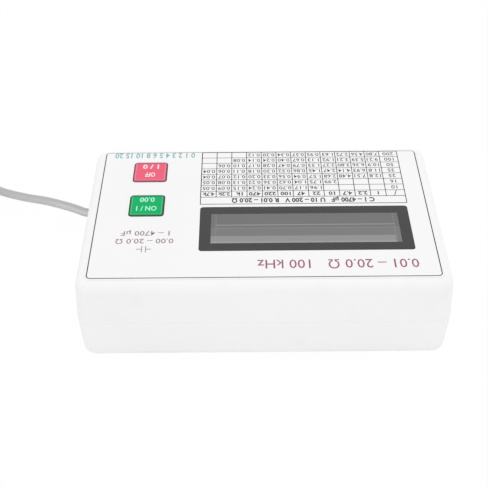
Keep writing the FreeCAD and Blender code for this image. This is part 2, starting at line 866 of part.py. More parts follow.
def make_lcd_bezel():
    """A folded sheet-metal frame with a window and four tabs through the board."""
    body = new_body("lcd_bezel")
    outer = new_sketch(body, LCD_BOARD_TOP)
    draw_rounded_rectangle(outer, DISPLAY_X, "display_y", "bezel_length", "bezel_width", "2 * bezel_sheet")
    pad(body, outer, "bezel_height")
    inner_length = "(bezel_length - 2 * bezel_sheet)"
    inner_width = "(bezel_width - 2 * bezel_sheet)"
    inner = new_sketch(body, LCD_BOARD_TOP)
    draw_rectangle(inner, DISPLAY_X, "display_y", inner_length, inner_width)
    pocket(body, inner, "bezel_height - bezel_sheet", along=True)
    window = new_sketch(body, BEZEL_TOP)
    draw_rectangle(window, DISPLAY_X, "display_y", "view_length", "view_width")
    pocket(body, window, "bezel_sheet")
    tabs = new_sketch(body, LCD_BOARD_TOP)
    for x, y, _ in TAB_PLACES:
        draw_rectangle(tabs, x, y, "bezel_tab_length", "bezel_sheet")
    pad(body, tabs, "board_thickness + bezel_tab_reach", back=True)
    node(body, "lcd_bezel")


TAB_PLACES = corner_places("bezel_tab_x", "(bezel_width - bezel_sheet) / 2", "0", DISPLAY_X, "display_y")
LCD_HOLES = corner_places("lcd_hole_x", "lcd_hole_y", LCD_BOARD_TOP, DISPLAY_X, "display_y")


def make_lcd_board():
    body = new_body("lcd_board")
    outline = new_sketch(body, LCD_BOARD_UNDER)
    draw_rectangle(outline, DISPLAY_X, "display_y", "lcd_board_length", "lcd_board_width")
    pad(body, outline, "board_thickness")
    drill(body, LCD_HOLES, LCD_BOARD_TOP, "lcd_hole", "board_thickness")
    slots = new_sketch(body, LCD_BOARD_TOP)
    for x, y, _ in TAB_PLACES:
        slot_length = "(bezel_tab_length + 2 * lens_clearance)"
        slot_width = "(bezel_sheet + 2 * lens_clearance)"
        draw_rectangle(slots, x, y, slot_length, slot_width)
    pocket(body, slots, "board_thickness")
    node(body, "lcd_board")


def make_display_stack():
    """Glass under the bezel's window, a light guide under it and a contact strip along each long side."""
    glass_length = "(bezel_length - 2 * bezel_sheet - 2 * glass_clearance)"
    glass_width = "(bezel_width - 2 * bezel_sheet - 2 * glass_clearance)"
    glass = box("lcd_glass", DISPLAY_X, "display_y", GLASS_UNDER, glass_length, glass_width, "glass_thickness")
    node(glass, "lcd_glass")

    stack_height = f"({GLASS_UNDER} - {LCD_BOARD_TOP})"
    strip_y = f"({glass_width} - contact_strip_width) / 2"
    strips = []
    for side in (1, -1):
        middle_y = f"display_y + {side} * {strip_y}"
        strips.append(box("contact_strip", DISPLAY_X, middle_y, LCD_BOARD_TOP, glass_length,
                          "contact_strip_width", stack_height))
    node(group("lcd_contact_strips", strips), "lcd_contact_strips")

    guide_width = f"({glass_width} - 2 * contact_strip_width - 2 * guide_clearance)"
    guide = box("lcd_light_guide", DISPLAY_X, "display_y", LCD_BOARD_TOP, glass_length, guide_width, stack_height)
    node(guide, "lcd_light_guide")


def make_lcd_driver_chips():
    """Two low resin blobs under the display's board."""
    blob = new_body("chip_blob")
    revolve(blob, [
        ("0", "0"),
        ("0", "-chip_blob_height"),
        ("chip_blob_diameter / 6", "-chip_blob_height"),
        ("chip_blob_diameter / 2.6", "-chip_blob_height / 2"),
        ("chip_blob_diameter / 2", "0"),
    ])
    places = [(f"{DISPLAY_X} {side} chip_blob_x", "display_y", LCD_BOARD_UNDER) for side in "-+"]
    node(set_of_copies("lcd_driver_chips", blob, places), "lcd_driver_chips")


def make_display_fixings():
    """Screws through the display's board, spacer tubes and the main board, with nuts underneath."""
    length = f"({LCD_BOARD_TOP} - board_level + nut_height + lcd_screw_overhang)"
    screw = make_screw("lcd_screw", "lcd_screw_head", "lcd_screw_head_height", "lcd_screw_diameter", length)
    node(set_of_copies("lcd_screws", screw, LCD_HOLES), "lcd_screws")

    tube_height = f"({LCD_BOARD_UNDER} - {BOARD_TOP})"
    tube = new_body("standoff")
    ring = new_sketch(tube)
    draw_circle(ring, "0", "0", "standoff_diameter")
    draw_circle(ring, "0", "0", "lcd_hole")
    pad(tube, ring, tube_height)
    places = [(x, y, BOARD_TOP) for x, y, _ in LCD_HOLES]
    node(set_of_copies("display_standoffs", tube, places), "display_standoffs")

    nut = new_body("lcd_nut")
    face = new_sketch(nut)
    corner = "nut_flats / sqrt(3)"
    draw_polygon(face, [(f"{corner} * cos({60 * i} deg)", f"{corner} * sin({60 * i} deg)") for i in range(6)])
    draw_circle(face, "0", "0", "(lcd_screw_diameter + 2 * screw_clearance)")
    pad(nut, face, "nut_height", back=True)
    places = [(x, y, "board_level") for x, y, _ in LCD_HOLES]
    node(set_of_copies("lcd_nuts", nut, places), "lcd_nuts")


def make_display_header():
    """A moulded strip on the main board whose pins reach up to the display's board."""
    first_x = f"({DISPLAY_X} - lcd_board_length / 2 + header_inset)"
    row_y = "(display_y + lcd_board_width / 2 - header_edge)"
    length = f"(pin_pitch * {HEADER_PINS})"
    strip_height = f"(({LCD_BOARD_UNDER} - {BOARD_TOP}) / 2)"
    middle_x = f"({first_x} + pin_pitch * {(HEADER_PINS - 1) / 2})"
    members = [box("header_strip", middle_x, row_y, BOARD_TOP, length, "header_width", strip_height)]
    pin_low = f"({BOARD_TOP} + {strip_height})"
    for i in range(HEADER_PINS):
        pin_x = f"({first_x} + {i} * pin_pitch)"
        members.append(box("header_pin", pin_x, row_y, pin_low, "pin_width", "pin_width",
                           f"{LCD_BOARD_UNDER} - {pin_low}"))
    node(fuse("display_header", members), "display_header")


# Main board and what is on it

def make_main_board():
    """An L-shaped board with a notch at each case boss and a hole at each post and display screw."""
    right = f"{MAIN_BOARD_LENGTH} / 2"
    top = f"{MAIN_BOARD_WIDTH} / 2"
    notch_x = f"({BOSS_X} - boss_diameter / 2 - notch_clearance)"
    notch_y = f"({BOSS_Y} - boss_diameter / 2 - notch_clearance)"
    body = new_body("main_board")
    outline = new_sketch(body, "board_level")
    draw_polygon(outline, [
        (f"-{right}", BATTERY_NOTCH_Y),
        (BATTERY_NOTCH_X, BATTERY_NOTCH_Y),
        (BATTERY_NOTCH_X, f"-{top}"),
        (notch_x, f"-{top}"),
        (notch_x, f"-{notch_y}"),
        (right, f"-{notch_y}"),
        (right, notch_y),
        (notch_x, notch_y),
        (notch_x, top),
        (f"-{notch_x}", top),
        (f"-{notch_x}", notch_y),
        (f"-{right}", notch_y),
    ])
    pad(body, outline, "board_thickness")
    drill(body, POSTS, BOARD_TOP, "board_hole", "board_thickness")
    drill(body, LCD_HOLES, BOARD_TOP, "lcd_hole", "board_thickness")
    node(body, "main_board")

    screw = make_screw("board_screw", "board_screw_head", "board_screw_head_height", "screw_core",
                       "board_screw_length")
    node(set_of_copies("board_screws", screw, [(x, y, BOARD_TOP) for x, y, _ in POSTS]), "board_screws")


def make_chip(label, x, y, sizes, legs_per_side):
    """A surface-mounted package whose legs stand on the board along both long sides."""
    length, width, height, span = (f"{sizes}_{name}" for name in ("length", "width", "height", "span"))
    members = [box(f"{label}_package", x, y, f"{BOARD_TOP} + chip_stand", length, width, f"{height} - chip_stand")]
    reach = f"({span} - {width}) / 2"
    shoulder_z = f"{BOARD_TOP} + {height} / 2"
    for i in range(legs_per_side):
        leg_x = f"{x} + {i - (legs_per_side - 1) / 2} * leg_pitch"
        for side in (1, -1):
            shoulder_y = f"{y} + {side} * ({width} + {span}) / 4"
            foot_y = f"{y} + {side} * ({span} - leg_sheet) / 2"
            members.append(box("leg_shoulder", leg_x, shoulder_y, shoulder_z, "leg_width", reach, "leg_sheet"))
            members.append(box("leg_foot", leg_x, foot_y, BOARD_TOP, "leg_width", "leg_sheet", f"{height} / 2"))
    node(fuse(label, members), label)


def make_crystal():
    body = new_body("crystal")
    outline = new_sketch(body, BOARD_TOP)
    draw_rectangle(outline, KEY_X, f"({POST_Y} - crystal_drop)", "crystal_length", "crystal_width")
    pad(body, outline, "crystal_height")
    fillet(body, "crystal_width / 2.1", is_upright)
    node(body, "crystal")


def make_regulator():
    """A small power package: a moulded block with a wide tab on one side and three legs on the other."""
    x = f"({BATTERY_NOTCH_X} + regulator_step)"
    y = f"(regulator_rise - {POST_Y})"
    foot_y = "(regulator_width + regulator_foot) / 2"
    members = [
        box("regulator_block", x, y, BOARD_TOP, "regulator_length", "regulator_width", "regulator_height"),
        box("regulator_wide_tab", x, f"{y} + {foot_y}", BOARD_TOP, "regulator_tab", "regulator_foot", "leg_sheet"),
    ]
    for i in (-1, 0, 1):
        members.append(box("regulator_leg", f"{x} + {i} * regulator_leg_pitch", f"{y} - {foot_y}", BOARD_TOP,
                           "regulator_leg_width", "regulator_foot", "leg_sheet"))
    node(fuse("voltage_regulator", members), "voltage_regulator")


def make_capacitors():
    """Two upright cans with a rolled groove near the board."""
    can = new_body("capacitor_can")
    radius = "capacitor_diameter / 2"
    revolve(can, [
        ("0", "0"),
        (radius, "0"),
        (radius, "capacitor_groove_height - capacitor_rim"),
        (f"{radius} - capacitor_groove", "capacitor_groove_height"),
        (radius, "capacitor_groove_height + capacitor_rim"),
        (radius, "capacitor_height - capacitor_rim"),
        (f"{radius} - capacitor_rim", "capacitor_height"),
        ("0", "capacitor_height"),
    ])
    places = [
        (f"{KEY_X} - capacitor_left_step", f"{POST_Y} - capacitor_left_drop", BOARD_TOP),
        (f"{KEY_X} + capacitor_right_step", f"{POST_Y} - capacitor_right_drop", BOARD_TOP),
    ]
    node(set_of_copies("electrolytic_capacitors", can, places), "electrolytic_capacitors")


def make_diodes():
    """Two diodes lying beside each other, on wires bent down to the board."""
    axis_height = "(diode_diameter / 2 + diode_stand)"
    x = f"({BATTERY_NOTCH_X} + diode_step)"
    diodes = []
    for side in (1, -1):
        y = f"diode_y + {side} * diode_spacing / 2"
        axis_z = f"{BOARD_TOP} + {axis_height}"
        wire_low_x = f"{x} - diode_span / 2"
        members = [
            cylinder("diode_body", f"{x} - diode_length / 2", y, axis_z, "diode_diameter", "diode_length",
                     Vector(1, 0, 0)),
            cylinder("diode_wire", wire_low_x, y, axis_z, "diode_wire", "diode_span", Vector(1, 0, 0)),
        ]
        for end in (1, -1):
            foot_x = f"{x} + {end} * (diode_span - diode_wire) / 2"
            members.append(cylinder("diode_foot", foot_x, y, BOARD_TOP, "diode_wire", axis_height))
        diodes.append(fuse("diode", members))
    node(group("protection_diodes", diodes), "protection_diodes")


def make_resistors():
    chips = []
    for x in (f"{KEY_X} - resistor_spread", f"{KEY_X} + resistor_spread"):
        for i in range(RESISTORS_PER_ROW):
            y = f"resistor_first_y + {i} * resistor_pitch"
            chips.append(box("chip_resistor", x, y, BOARD_TOP, "resistor_width", "resistor_length",
                             "resistor_height"))
    node(group("chip_resistors", chips), "chip_resistors")


# Battery

def make_battery():
    body = new_body("battery")
    end = new_sketch(body, BATTERY_X, "YZ_Plane")
    draw_rectangle(end, BATTERY_Y, BATTERY_MIDDLE, "battery_width", "battery_depth")
    pad(body, end, "battery_length")

    def is_long_edge(edge):
        return isinstance(edge.Curve, Part.Line) and abs(edge.Curve.Direction.x) > 0.99

    fillet(body, "battery_radius", is_long_edge)
    node(body, "battery")

    stud_y = f"{BATTERY_Y} + terminal_spread / 2"
    socket_y = f"{BATTERY_Y} - terminal_spread / 2"
    along_x = Vector(1, 0, 0)
    stud = cylinder("stud", BATTERY_END, stud_y, BATTERY_MIDDLE, "stud_diameter", "terminal_height", along_x)
    socket = cylinder("socket", BATTERY_END, socket_y, BATTERY_MIDDLE, "socket_diameter", "terminal_height", along_x)
    node(group("battery_terminals", [stud, socket]), "battery_terminals")

    snap = new_body("battery_snap")
    plate = new_sketch(snap, f"{BATTERY_END} + snap_gap", "YZ_Plane")
    draw_rectangle(plate, BATTERY_Y, BATTERY_MIDDLE, "snap_length", "snap_width")
    pad(snap, plate, "snap_thickness")
    fillet(snap, "snap_width / 2.1", is_long_edge)
    cups = new_sketch(snap, f"{BATTERY_END} + snap_gap", "YZ_Plane")
    draw_circle(cups, stud_y, BATTERY_MIDDLE, "(stud_diameter + 2 * snap_gap)")
    draw_circle(cups, socket_y, BATTERY_MIDDLE, "(socket_diameter + 2 * snap_gap)")
    pocket(snap, cups, "terminal_height", along=True)
    node(snap, "battery_snap")

    for label, side in (("battery_wire_red", 1), ("battery_wire_black", -1)):
        y = value(f"{BATTERY_Y} + {side} * battery_wire_spread / 2")
        start_x = value(SNAP_END)
        end_x = start_x + value("battery_wire_reach")
        z = value(f"{BATTERY_MIDDLE} - battery_wire_drop")
        route = [Vector(start_x, y, z), Vector(end_x, y, z), Vector(end_x, y, value("board_level"))]
        make_tube(label, [route], value("battery_wire_diameter"))


# Cords

def arc_on(start, direction, end):
    """The arc that leaves start along a direction and reaches end."""
    chord = end - start
    sideways = chord - direction * chord.dot(direction)
    if sideways.Length < 1e-9:
        return Part.LineSegment(start, end), math.inf
    sideways.normalize()
    radius = chord.Length ** 2 / (2 * chord.dot(sideways))
    turn = 2 * math.atan2(chord.dot(sideways), chord.dot(direction))
    middle = start + direction * (radius * math.sin(turn / 2)) + sideways * (radius * (1 - math.cos(turn / 2)))
    return Part.Arc(start, middle, end), radius


def rounded_route(points):
    """Straight runs joined by tangent arcs, each as large as its two runs allow, and the arcs' radii."""
    edges = []
    radii = []
    last = points[0]
    for before, corner, after in zip(points, points[1:], points[2:]):
        inwards = (corner - before).normalize()
        outwards = (after - corner).normalize()
        tangent = 0.45 * min((corner - before).Length, (after - corner).Length)
        start = corner - inwards * tangent
        arc, radius = arc_on(start, inwards, corner + outwards * tangent)
        edges.append(Part.LineSegment(last, start).toShape())
        edges.append(arc.toShape())
        radii.append(radius)
        last = corner + outwards * tangent
    edges.append(Part.LineSegment(last, points[-1]).toShape())
    return edges, radii


def sweep_circle(edges, start, direction, diameter):
    wire = Part.Wire(edges)
    section = Part.Wire(Part.Circle(start, direction, diameter / 2).toShape())
    shell = Part.BRepOffsetAPI.MakePipeShell(wire)
    shell.add(section)
    shell.build()
    shell.makeSolid()
    solid = shell.shape()
    expected = math.pi * diameter ** 2 / 4 * wire.Length
    return solid, wire.Length, solid.Volume / expected


def make_tube(label, routes, diameter):
    """One round tube along each route."""
    solids = []
    for points in routes:
        edges, radii = rounded_route(points)
        first = (points[1] - points[0]).normalize()
        solid, length, ratio = sweep_circle(edges, points[0], first, diameter)
        solids.append(solid)
        print(f"{label}: length {length:.1f}, volume ratio {ratio:.4f}, radii",
              [round(radius, 1) for radius in radii])
    thing = doc.addObject("Part::Feature", label)
    thing.Shape = solids[0] if len(solids) == 1 else Part.makeCompound(solids)
    node(thing, label)


def make_lead_entry():
    """Grommet in the wall, the lead's inner end, its pull stop and its two cores."""
    along_x = Vector(1, 0, 0)
    inner_face = f"({WALL_AT_LEAD} - wall - {FLANGE_GAP} - grommet_flange_thickness)"
    neck_start = "grommet_flange_thickness"
    neck_end = f"(grommet_flange_thickness + wall + 2 * {FLANGE_GAP})"
    total = f"(2 * grommet_flange_thickness + wall + 2 * {FLANGE_GAP})"
    bore = f"{LEAD_BORE} / 2"
    grommet = new_body("grommet_form")
    revolve(grommet, [
        (bore, "0"),
        ("grommet_flange / 2", "0"),
        ("grommet_flange / 2", neck_start),
        ("grommet_neck / 2", neck_start),
        ("grommet_neck / 2", neck_end),
        ("grommet_flange / 2", neck_end),
        ("grommet_flange / 2 - grommet_flange_thickness / 2", total),
        (bore, total),
    ])
    placed = copy_at("grommet_place", grommet, inner_face, LEAD_EXIT_Y, "lead_exit_height")
    placed.Placement.Rotation = FreeCAD.Rotation(Vector(0, 0, 1), along_x)
    node(group("cable_grommet", [placed]), "cable_grommet")

    inner = cylinder("lead_inner", LEAD_INNER_X, LEAD_EXIT_Y, "lead_exit_height", "lead_diameter",
                     "lead_inner_length", along_x)
    node(inner, "lead_inner")

    tie_x = f"({LEAD_JOINT_X} - tie_depth)"
    band = cylinder("tie_band_outer", tie_x, LEAD_EXIT_Y, "lead_exit_height",
                    f"{LEAD_BORE} + 2 * tie_band", "tie_width", along_x)
    head = box("tie_head_block", f"{tie_x} + tie_width / 2", LEAD_EXIT_Y,
               f"lead_exit_height - {LEAD_BORE} / 2 - tie_head", "tie_width", "tie_head", "tie_head")
    bore_solid = cylinder("tie_bore", f"{tie_x} - tie_width", LEAD_EXIT_Y, "lead_exit_height", LEAD_BORE,
                          "3 * tie_width", along_x)
    node(cut("strain_tie", fuse("tie_solid", [band, head]), bore_solid), "strain_tie")

    routes = []
    for side in (1, -1):
        y = value(f"{LEAD_EXIT_Y} + {side} * core_spread / 2")
        start_x = value(LEAD_INNER_X)
        end_x = start_x - value("core_reach")
        z = value("lead_exit_height")
        routes.append([Vector(start_x, y, z), Vector(end_x, y, z), Vector(end_x, y, value("board_level"))])
    make_tube("lead_cores", routes, value("core_diameter"))


def coil_stations():
    """Points and directions every quarter turn: in on the floor layer, up, and out on the layer above.

    The spiral reverses half-way through the climb.
    """
    middle = Vector(value(COIL_X), value("coil_y"), 0)
    pitch = value("coil_pitch")
    inner = value(COIL_INNER)
    floor_z = value("lead_diameter / 2 + coil_tie_sheet + coil_tie_clearance")
    start_angle = math.radians(value("coil_start_angle"))
    climb_start = 4 * COIL_LAYER_TURNS
    climb_quarters = int(4 * COIL_CLIMB_TURNS)
    turning_quarter = climb_start + climb_quarters // 2
    stations = []
    for quarter in range(2 * turning_quarter + 1):
        past = quarter - turning_quarter
        climbed = min(max(quarter - climb_start, 0), climb_quarters) / climb_quarters
        steepness = 1.5 * pitch / (COIL_CLIMB_TURNS * 2 * math.pi) if past == 0 else 0
        spread = math.copysign(pitch / (2 * math.pi), past) if past else 0
        angle = start_angle + quarter * math.pi / 2
        radius = inner + pitch * abs(past) / 4
        out = Vector(math.cos(angle), math.sin(angle), 0)
        forward = Vector(-math.sin(angle), math.cos(angle), 0)
        point = middle + out * radius + Vector(0, 0, floor_z + pitch * climbed)
        direction = (forward * radius + out * spread + Vector(0, 0, steepness)).normalize()
        stations.append((point, direction))
    return stations


def biarc(start, start_direction, end, end_direction):
    """Two arcs with a common tangent between two points with given directions."""
    chord = end - start
    both = start_direction + end_direction
    across = chord.dot(both)
    spread = 2 * (1 - start_direction.dot(end_direction))
    reach = (-across + math.sqrt(across ** 2 + spread * chord.dot(chord))) / spread
    joint = (start + end + (start_direction - end_direction) * reach) * 0.5
    first, first_radius = arc_on(start, start_direction, joint)
    second, second_radius = arc_on(end, end_direction * -1, joint)
    back = Part.Arc(joint, second.value(second.FirstParameter + second.LastParameter * 0.5), end)
    return [first, back], [first_radius, second_radius]


def least_self_gap(wire, diameter, apart):
    """The least gap between parts of a tube that are further apart along it than a given length."""
    step = diameter / 4
    points = wire.discretize(Distance=step)
    skip = int(apart / step)
    least = math.inf
    for i, point in enumerate(points):
        for other in points[i + skip:]:
            least = min(least, point.distanceToPoint(other))
    return least - diameter


def make_lead_coil():
    """The put-away length: one tube in two layers of turns, with a straight end at each side."""
    diameter = value("lead_diameter")
    stations = coil_stations()
    first_point, first_direction = stations[0]
    last_point, last_direction = stations[-1]
    start = first_point - first_direction * diameter
    end = last_point + last_direction * diameter
    edges = [Part.LineSegment(start, first_point).toShape()]
    radii = []
    for (point, direction), (after, after_direction) in zip(stations, stations[1:]):
        arcs, arc_radii = biarc(point, direction, after, after_direction)
        edges += [arc.toShape() for arc in arcs]
        radii += arc_radii
    edges.append(Part.LineSegment(last_point, end).toShape())
    solid, length, ratio = sweep_circle(edges, start, first_direction, diameter)
    gap = least_self_gap(Part.Wire(edges), diameter, 3 * diameter)
    print(f"lead_coil: length {length:.1f}, volume ratio {ratio:.4f}, least radius {min(radii):.1f}, "
          f"least gap to itself {gap:.2f}")
    thing = doc.addObject("Part::Feature", "lead_coil")
    thing.Shape = solid
    node(thing, "lead_coil")
    return start, first_direction, end, last_direction


def make_coil_tie():
    """A flat band round all the turns at one place of the coil."""
    slack = "(lead_diameter / 2 + coil_tie_clearance)"
    inner_radius = f"({COIL_INNER} - {slack})"
    outer_radius = f"({COIL_INNER} + coil_pitch * {COIL_LAYER_TURNS} + {slack})"
    depth = f"({outer_radius} - {inner_radius})"
    height = "(lead_diameter + coil_pitch + 2 * coil_tie_clearance)"
    turn = FreeCAD.Rotation(Vector(0, 0, 1), value("coil_tie_angle"))
    angle = math.radians(value("coil_tie_angle"))
    middle = value(f"({inner_radius} + {outer_radius}) / 2")
    band = doc.addObject("Part::Box", "tie_outside")
    space = doc.addObject("Part::Box", "tie_inside")
    for thing, grow, width in ((band, "coil_tie_sheet", "coil_tie_width"), (space, "0", "coil_tie_width * 2")):
        bind(thing, "Length", f"{depth} + 2 * {grow}")
        bind(thing, "Width", width)
        bind(thing, "Height", f"{height} + 2 * {grow}")
        corner = Vector(-value(f"{depth} / 2 + {grow}"), -value(width) / 2, value(f"coil_tie_sheet - {grow}"))
        place = Vector(value(COIL_X) + middle * math.cos(angle), value("coil_y") + middle * math.sin(angle), 0)
        thing.Placement = FreeCAD.Placement(place + turn.multVec(corner), turn)
    node(cut("coil_tie", band, space), "coil_tie")


def beyond(reach, y, z):
    """A point outside the case, measured along X from the wall that the lead leaves."""
    return Vector(value("case_length / 2") + reach, y, z)


def make_test_lead(coil_start, coil_direction):
    """The stretch from inside the grommet to the coil, drooping from the wall to the ground."""
    exit_y = value(LEAD_EXIT_Y)
    exit_z = value("lead_exit_height")
    points = [
        Vector(value(LEAD_JOINT_X), exit_y, exit_z),
        beyond(3.9, exit_y, exit_z),
        beyond(9.6, -31.2, 9.3),
        beyond(15.6, -35.0, 8.4),
        beyond(22.2, -39.5, 6.9),
        beyond(29.0, -43.3, 5.2),
        beyond(36.2, -47.6, 3.7),
        beyond(42.9, -51.5, 2.8),
        coil_start - coil_direction * 8.1,
        coil_start,
    ]
    make_tube("test_lead", [points], value("lead_diameter"))


def make_lead_tail(coil_end, coil_direction):
    """From the coil's upper layer down to the ground and into the split."""
    split_face = value("split_y")
    split_x = value(SPLIT_X)
    level = value("split_height / 2")
    points = [
        coil_end,
        coil_end + coil_direction * 7.0,
        beyond(71.6, -19.6, 4.3),
        beyond(68.6, -13.0, 2.9),
        Vector(split_x, split_face - 5.4, level),
        Vector(split_x, split_face, level),
    ]
    make_tube("lead_tail", [points], value("lead_diameter"))


def make_split_and_probes():
    split = new_body("lead_split")
    outline = new_sketch(split)
    draw_rectangle(outline, SPLIT_X, "split_y + split_length / 2", "split_width", "split_length")
    pad(split, outline, "split_height")
    fillet(split, "split_radius", lambda edge: abs(edge.Curve.Direction.y) > 0.99)
    node(split, "lead_split")

    level = value("split_height / 2")
    rest = value("thin_lead_diameter / 2")
    axis_z = value(PROBE_AXIS)
    start_y = value("split_y + split_length")
    left_x = value(f"{SPLIT_X} - thin_lead_spread / 2")
    right_x = value(f"{SPLIT_X} + thin_lead_spread / 2")
    red_x = value(PROBES[0][0])
    black_x = value(PROBES[1][0])
    red_end = value("red_probe_tail_y + probe_neck_length")
    black_end = value("black_probe_tail_y + probe_neck_length")
    red_route = [
        Vector(left_x, start_y, level),
        Vector(left_x, start_y + 6.5, level),
        beyond(65.5, 28.0, rest),
        beyond(66.4, 41.0, rest),
        beyond(80.5, 54.3, rest),
        beyond(100.7, 54.3, rest),
        beyond(113.6, 44.5, 3.0),
        Vector(red_x, red_end + 6.5, axis_z),
        Vector(red_x, red_end, axis_z),
    ]
    black_route = [
        Vector(right_x, start_y, level),
        Vector(right_x, start_y + 6.5, level),
        beyond(69.5, 28.0, rest),
        beyond(69.4, 38.5, rest),
        beyond(78.4, 46.8, rest),
        beyond(91.8, 47.2, rest),
        beyond(99.8, 41.4, 2.8),
        Vector(black_x, black_end + 6.5, axis_z),
        Vector(black_x, black_end, axis_z),
    ]
    make_tube("red_lead", [red_route], value("thin_lead_diameter"))
    make_tube("black_lead", [black_route], value("thin_lead_diameter"))
    make_probe("red_probe_handle", *PROBES[0])
    make_probe("black_probe_handle", *PROBES[1])

    tip = new_body("tip_form")
    length = "(tip_seat + tip_length)"
    revolve(tip, [
        ("0", "0"),
        ("tip_diameter / 2", "0"),
        ("tip_diameter / 2", f"{length} - tip_point"),
        ("tip_diameter / 12", length),
        ("0", length),
    ])
    tips = []
    for x, tail_y in PROBES:
        placed = copy_at("tip_place", tip, x, f"{tail_y} - probe_length + tip_seat", PROBE_AXIS)
        placed.Placement.Rotation = FreeCAD.Rotation(Vector(0, 0, 1), Vector(0, -1, 0))
        tips.append(placed)
    node(group("probe_tips", tips), "probe_tips")


def make_probe(label, x, tail_y):
    """A turned handle: neck round the lead, two rings that it rests on, a grip and a tapered nose."""
    body = new_body(f"{label}_form")
    radius = "probe_diameter / 2"
    ring = "probe_ring_diameter / 2"
    nose = "probe_nose_diameter / 2"
    seat = "(tip_diameter / 2 + bore_clearance)"
    guard = "(probe_length - probe_grip_length)"
    revolve(body, [
        ("0", "-probe_neck_length"),
        ("thin_lead_diameter", "-probe_neck_length"),
        (radius, "0"),
        (ring, "0.6"),
        (ring, "probe_ring_width"),
        (radius, "probe_ring_width + 0.8"),
        (radius, f"{guard} - 1.2"),
        (ring, guard),
        (ring, f"{guard} + probe_ring_width"),
        (f"{radius} - 0.6", f"{guard} + probe_ring_width + 1.0"),
        (nose, "probe_length"),
        (seat, "probe_length"),
        (seat, "probe_length - tip_seat"),
        ("0", "probe_length - tip_seat"),
    ])
    placed = copy_at(f"{label}_place", body, x, tail_y, PROBE_AXIS)
    placed.Placement.Rotation = FreeCAD.Rotation(Vector(0, 0, 1), Vector(0, -1, 0))
    node(group(label, [placed]), label)


# The assembly

def build():
    make_top_shell()
    make_bottom_shell()
    make_case_screws()
    make_front_label()
    make_display_lens()
    for name, key_y in KEYS.items():
        make_key_cap(f"{name}_cap", key_y)
    make_key_switches()

    make_lcd_bezel()
    make_lcd_board()
    make_display_stack()
    make_lcd_driver_chips()
    make_display_fixings()
    make_display_header()

    make_main_board()
    make_chip("microcontroller", f"({KEY_X} - controller_step)", "controller_y", "controller", 14)
    make_chip("amplifier_chip", f"({BATTERY_NOTCH_X} + amplifier_step)", "amplifier_y", "amplifier", 7)
    make_crystal()
    make_regulator()
    make_capacitors()
    make_diodes()
    make_resistors()
    make_battery()

    make_lead_entry()
    coil_start, start_direction, coil_end, end_direction = make_lead_coil()
    make_coil_tie()
    make_test_lead(coil_start, start_direction)
    make_lead_tail(coil_end, end_direction)
    make_split_and_probes()


def check_and_write():
    doc.recompute()
    for thing in doc.Objects:
        if {"Invalid", "Error"} & set(thing.State):
            raise RuntimeError(f"{thing.Label} is {thing.State}")
    os.makedirs("parts", exist_ok=True)
    for thing in NODES:
        shape = thing.Shape
        if shape.isNull() or not shape.isValid() or not shape.Solids:
            raise RuntimeError(f"{thing.Label} has no valid solid")
        shape.exportStep(f"parts/{thing.Label}.step")
    print(len(NODES), "parts written")


build()
check_and_write()
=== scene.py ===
"""A component tester on a white ground: finishes, print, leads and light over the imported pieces."""

import json
import math

import bmesh
import bpy
from mathutils import Matrix, Vector


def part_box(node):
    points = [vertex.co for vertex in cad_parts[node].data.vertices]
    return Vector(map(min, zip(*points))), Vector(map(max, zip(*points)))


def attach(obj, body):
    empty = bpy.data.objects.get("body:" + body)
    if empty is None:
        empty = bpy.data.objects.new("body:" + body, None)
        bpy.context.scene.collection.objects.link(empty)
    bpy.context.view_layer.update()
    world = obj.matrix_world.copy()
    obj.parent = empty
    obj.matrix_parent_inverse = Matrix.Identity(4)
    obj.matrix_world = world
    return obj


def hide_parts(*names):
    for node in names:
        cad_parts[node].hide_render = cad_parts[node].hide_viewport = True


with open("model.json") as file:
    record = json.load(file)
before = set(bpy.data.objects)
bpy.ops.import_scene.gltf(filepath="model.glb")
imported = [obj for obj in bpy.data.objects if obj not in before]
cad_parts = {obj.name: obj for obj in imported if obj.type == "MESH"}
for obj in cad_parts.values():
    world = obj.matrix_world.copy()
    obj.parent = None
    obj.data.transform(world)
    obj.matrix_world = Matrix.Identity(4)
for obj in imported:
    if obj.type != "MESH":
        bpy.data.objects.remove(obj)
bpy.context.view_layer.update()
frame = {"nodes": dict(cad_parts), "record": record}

MM = 0.001
NODES = frame["nodes"]
SLOTS = {part["node"]: part["material_slot"] for part in frame["record"]["subparts"]}


def box_mm(node):
    """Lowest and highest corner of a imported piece, in millimetres."""
    low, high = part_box(node)
    return Vector(low) / MM, Vector(high) / MM


def middle_mm(node):
    """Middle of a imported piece's box, in millimetres."""
    low, high = box_mm(node)
    return (low + high) / 2


def long_axis(low, high):
    """The level axis along which a box is longer: 0 for X and 1 for Y."""
    return 0 if high.x - low.x > high.y - low.y else 1


LABEL_TOP = box_mm("front_label")[1].z
KEY_TOP = box_mm("on_key_cap")[1].z
GLASS_TOP = box_mm("lcd_glass")[1].z


# Shader maths

# Places of a Mix node's sockets for colours
MIX_FACTOR = 0
MIX_FIRST = 6
MIX_SECOND = 7
MIX_RESULT = 2


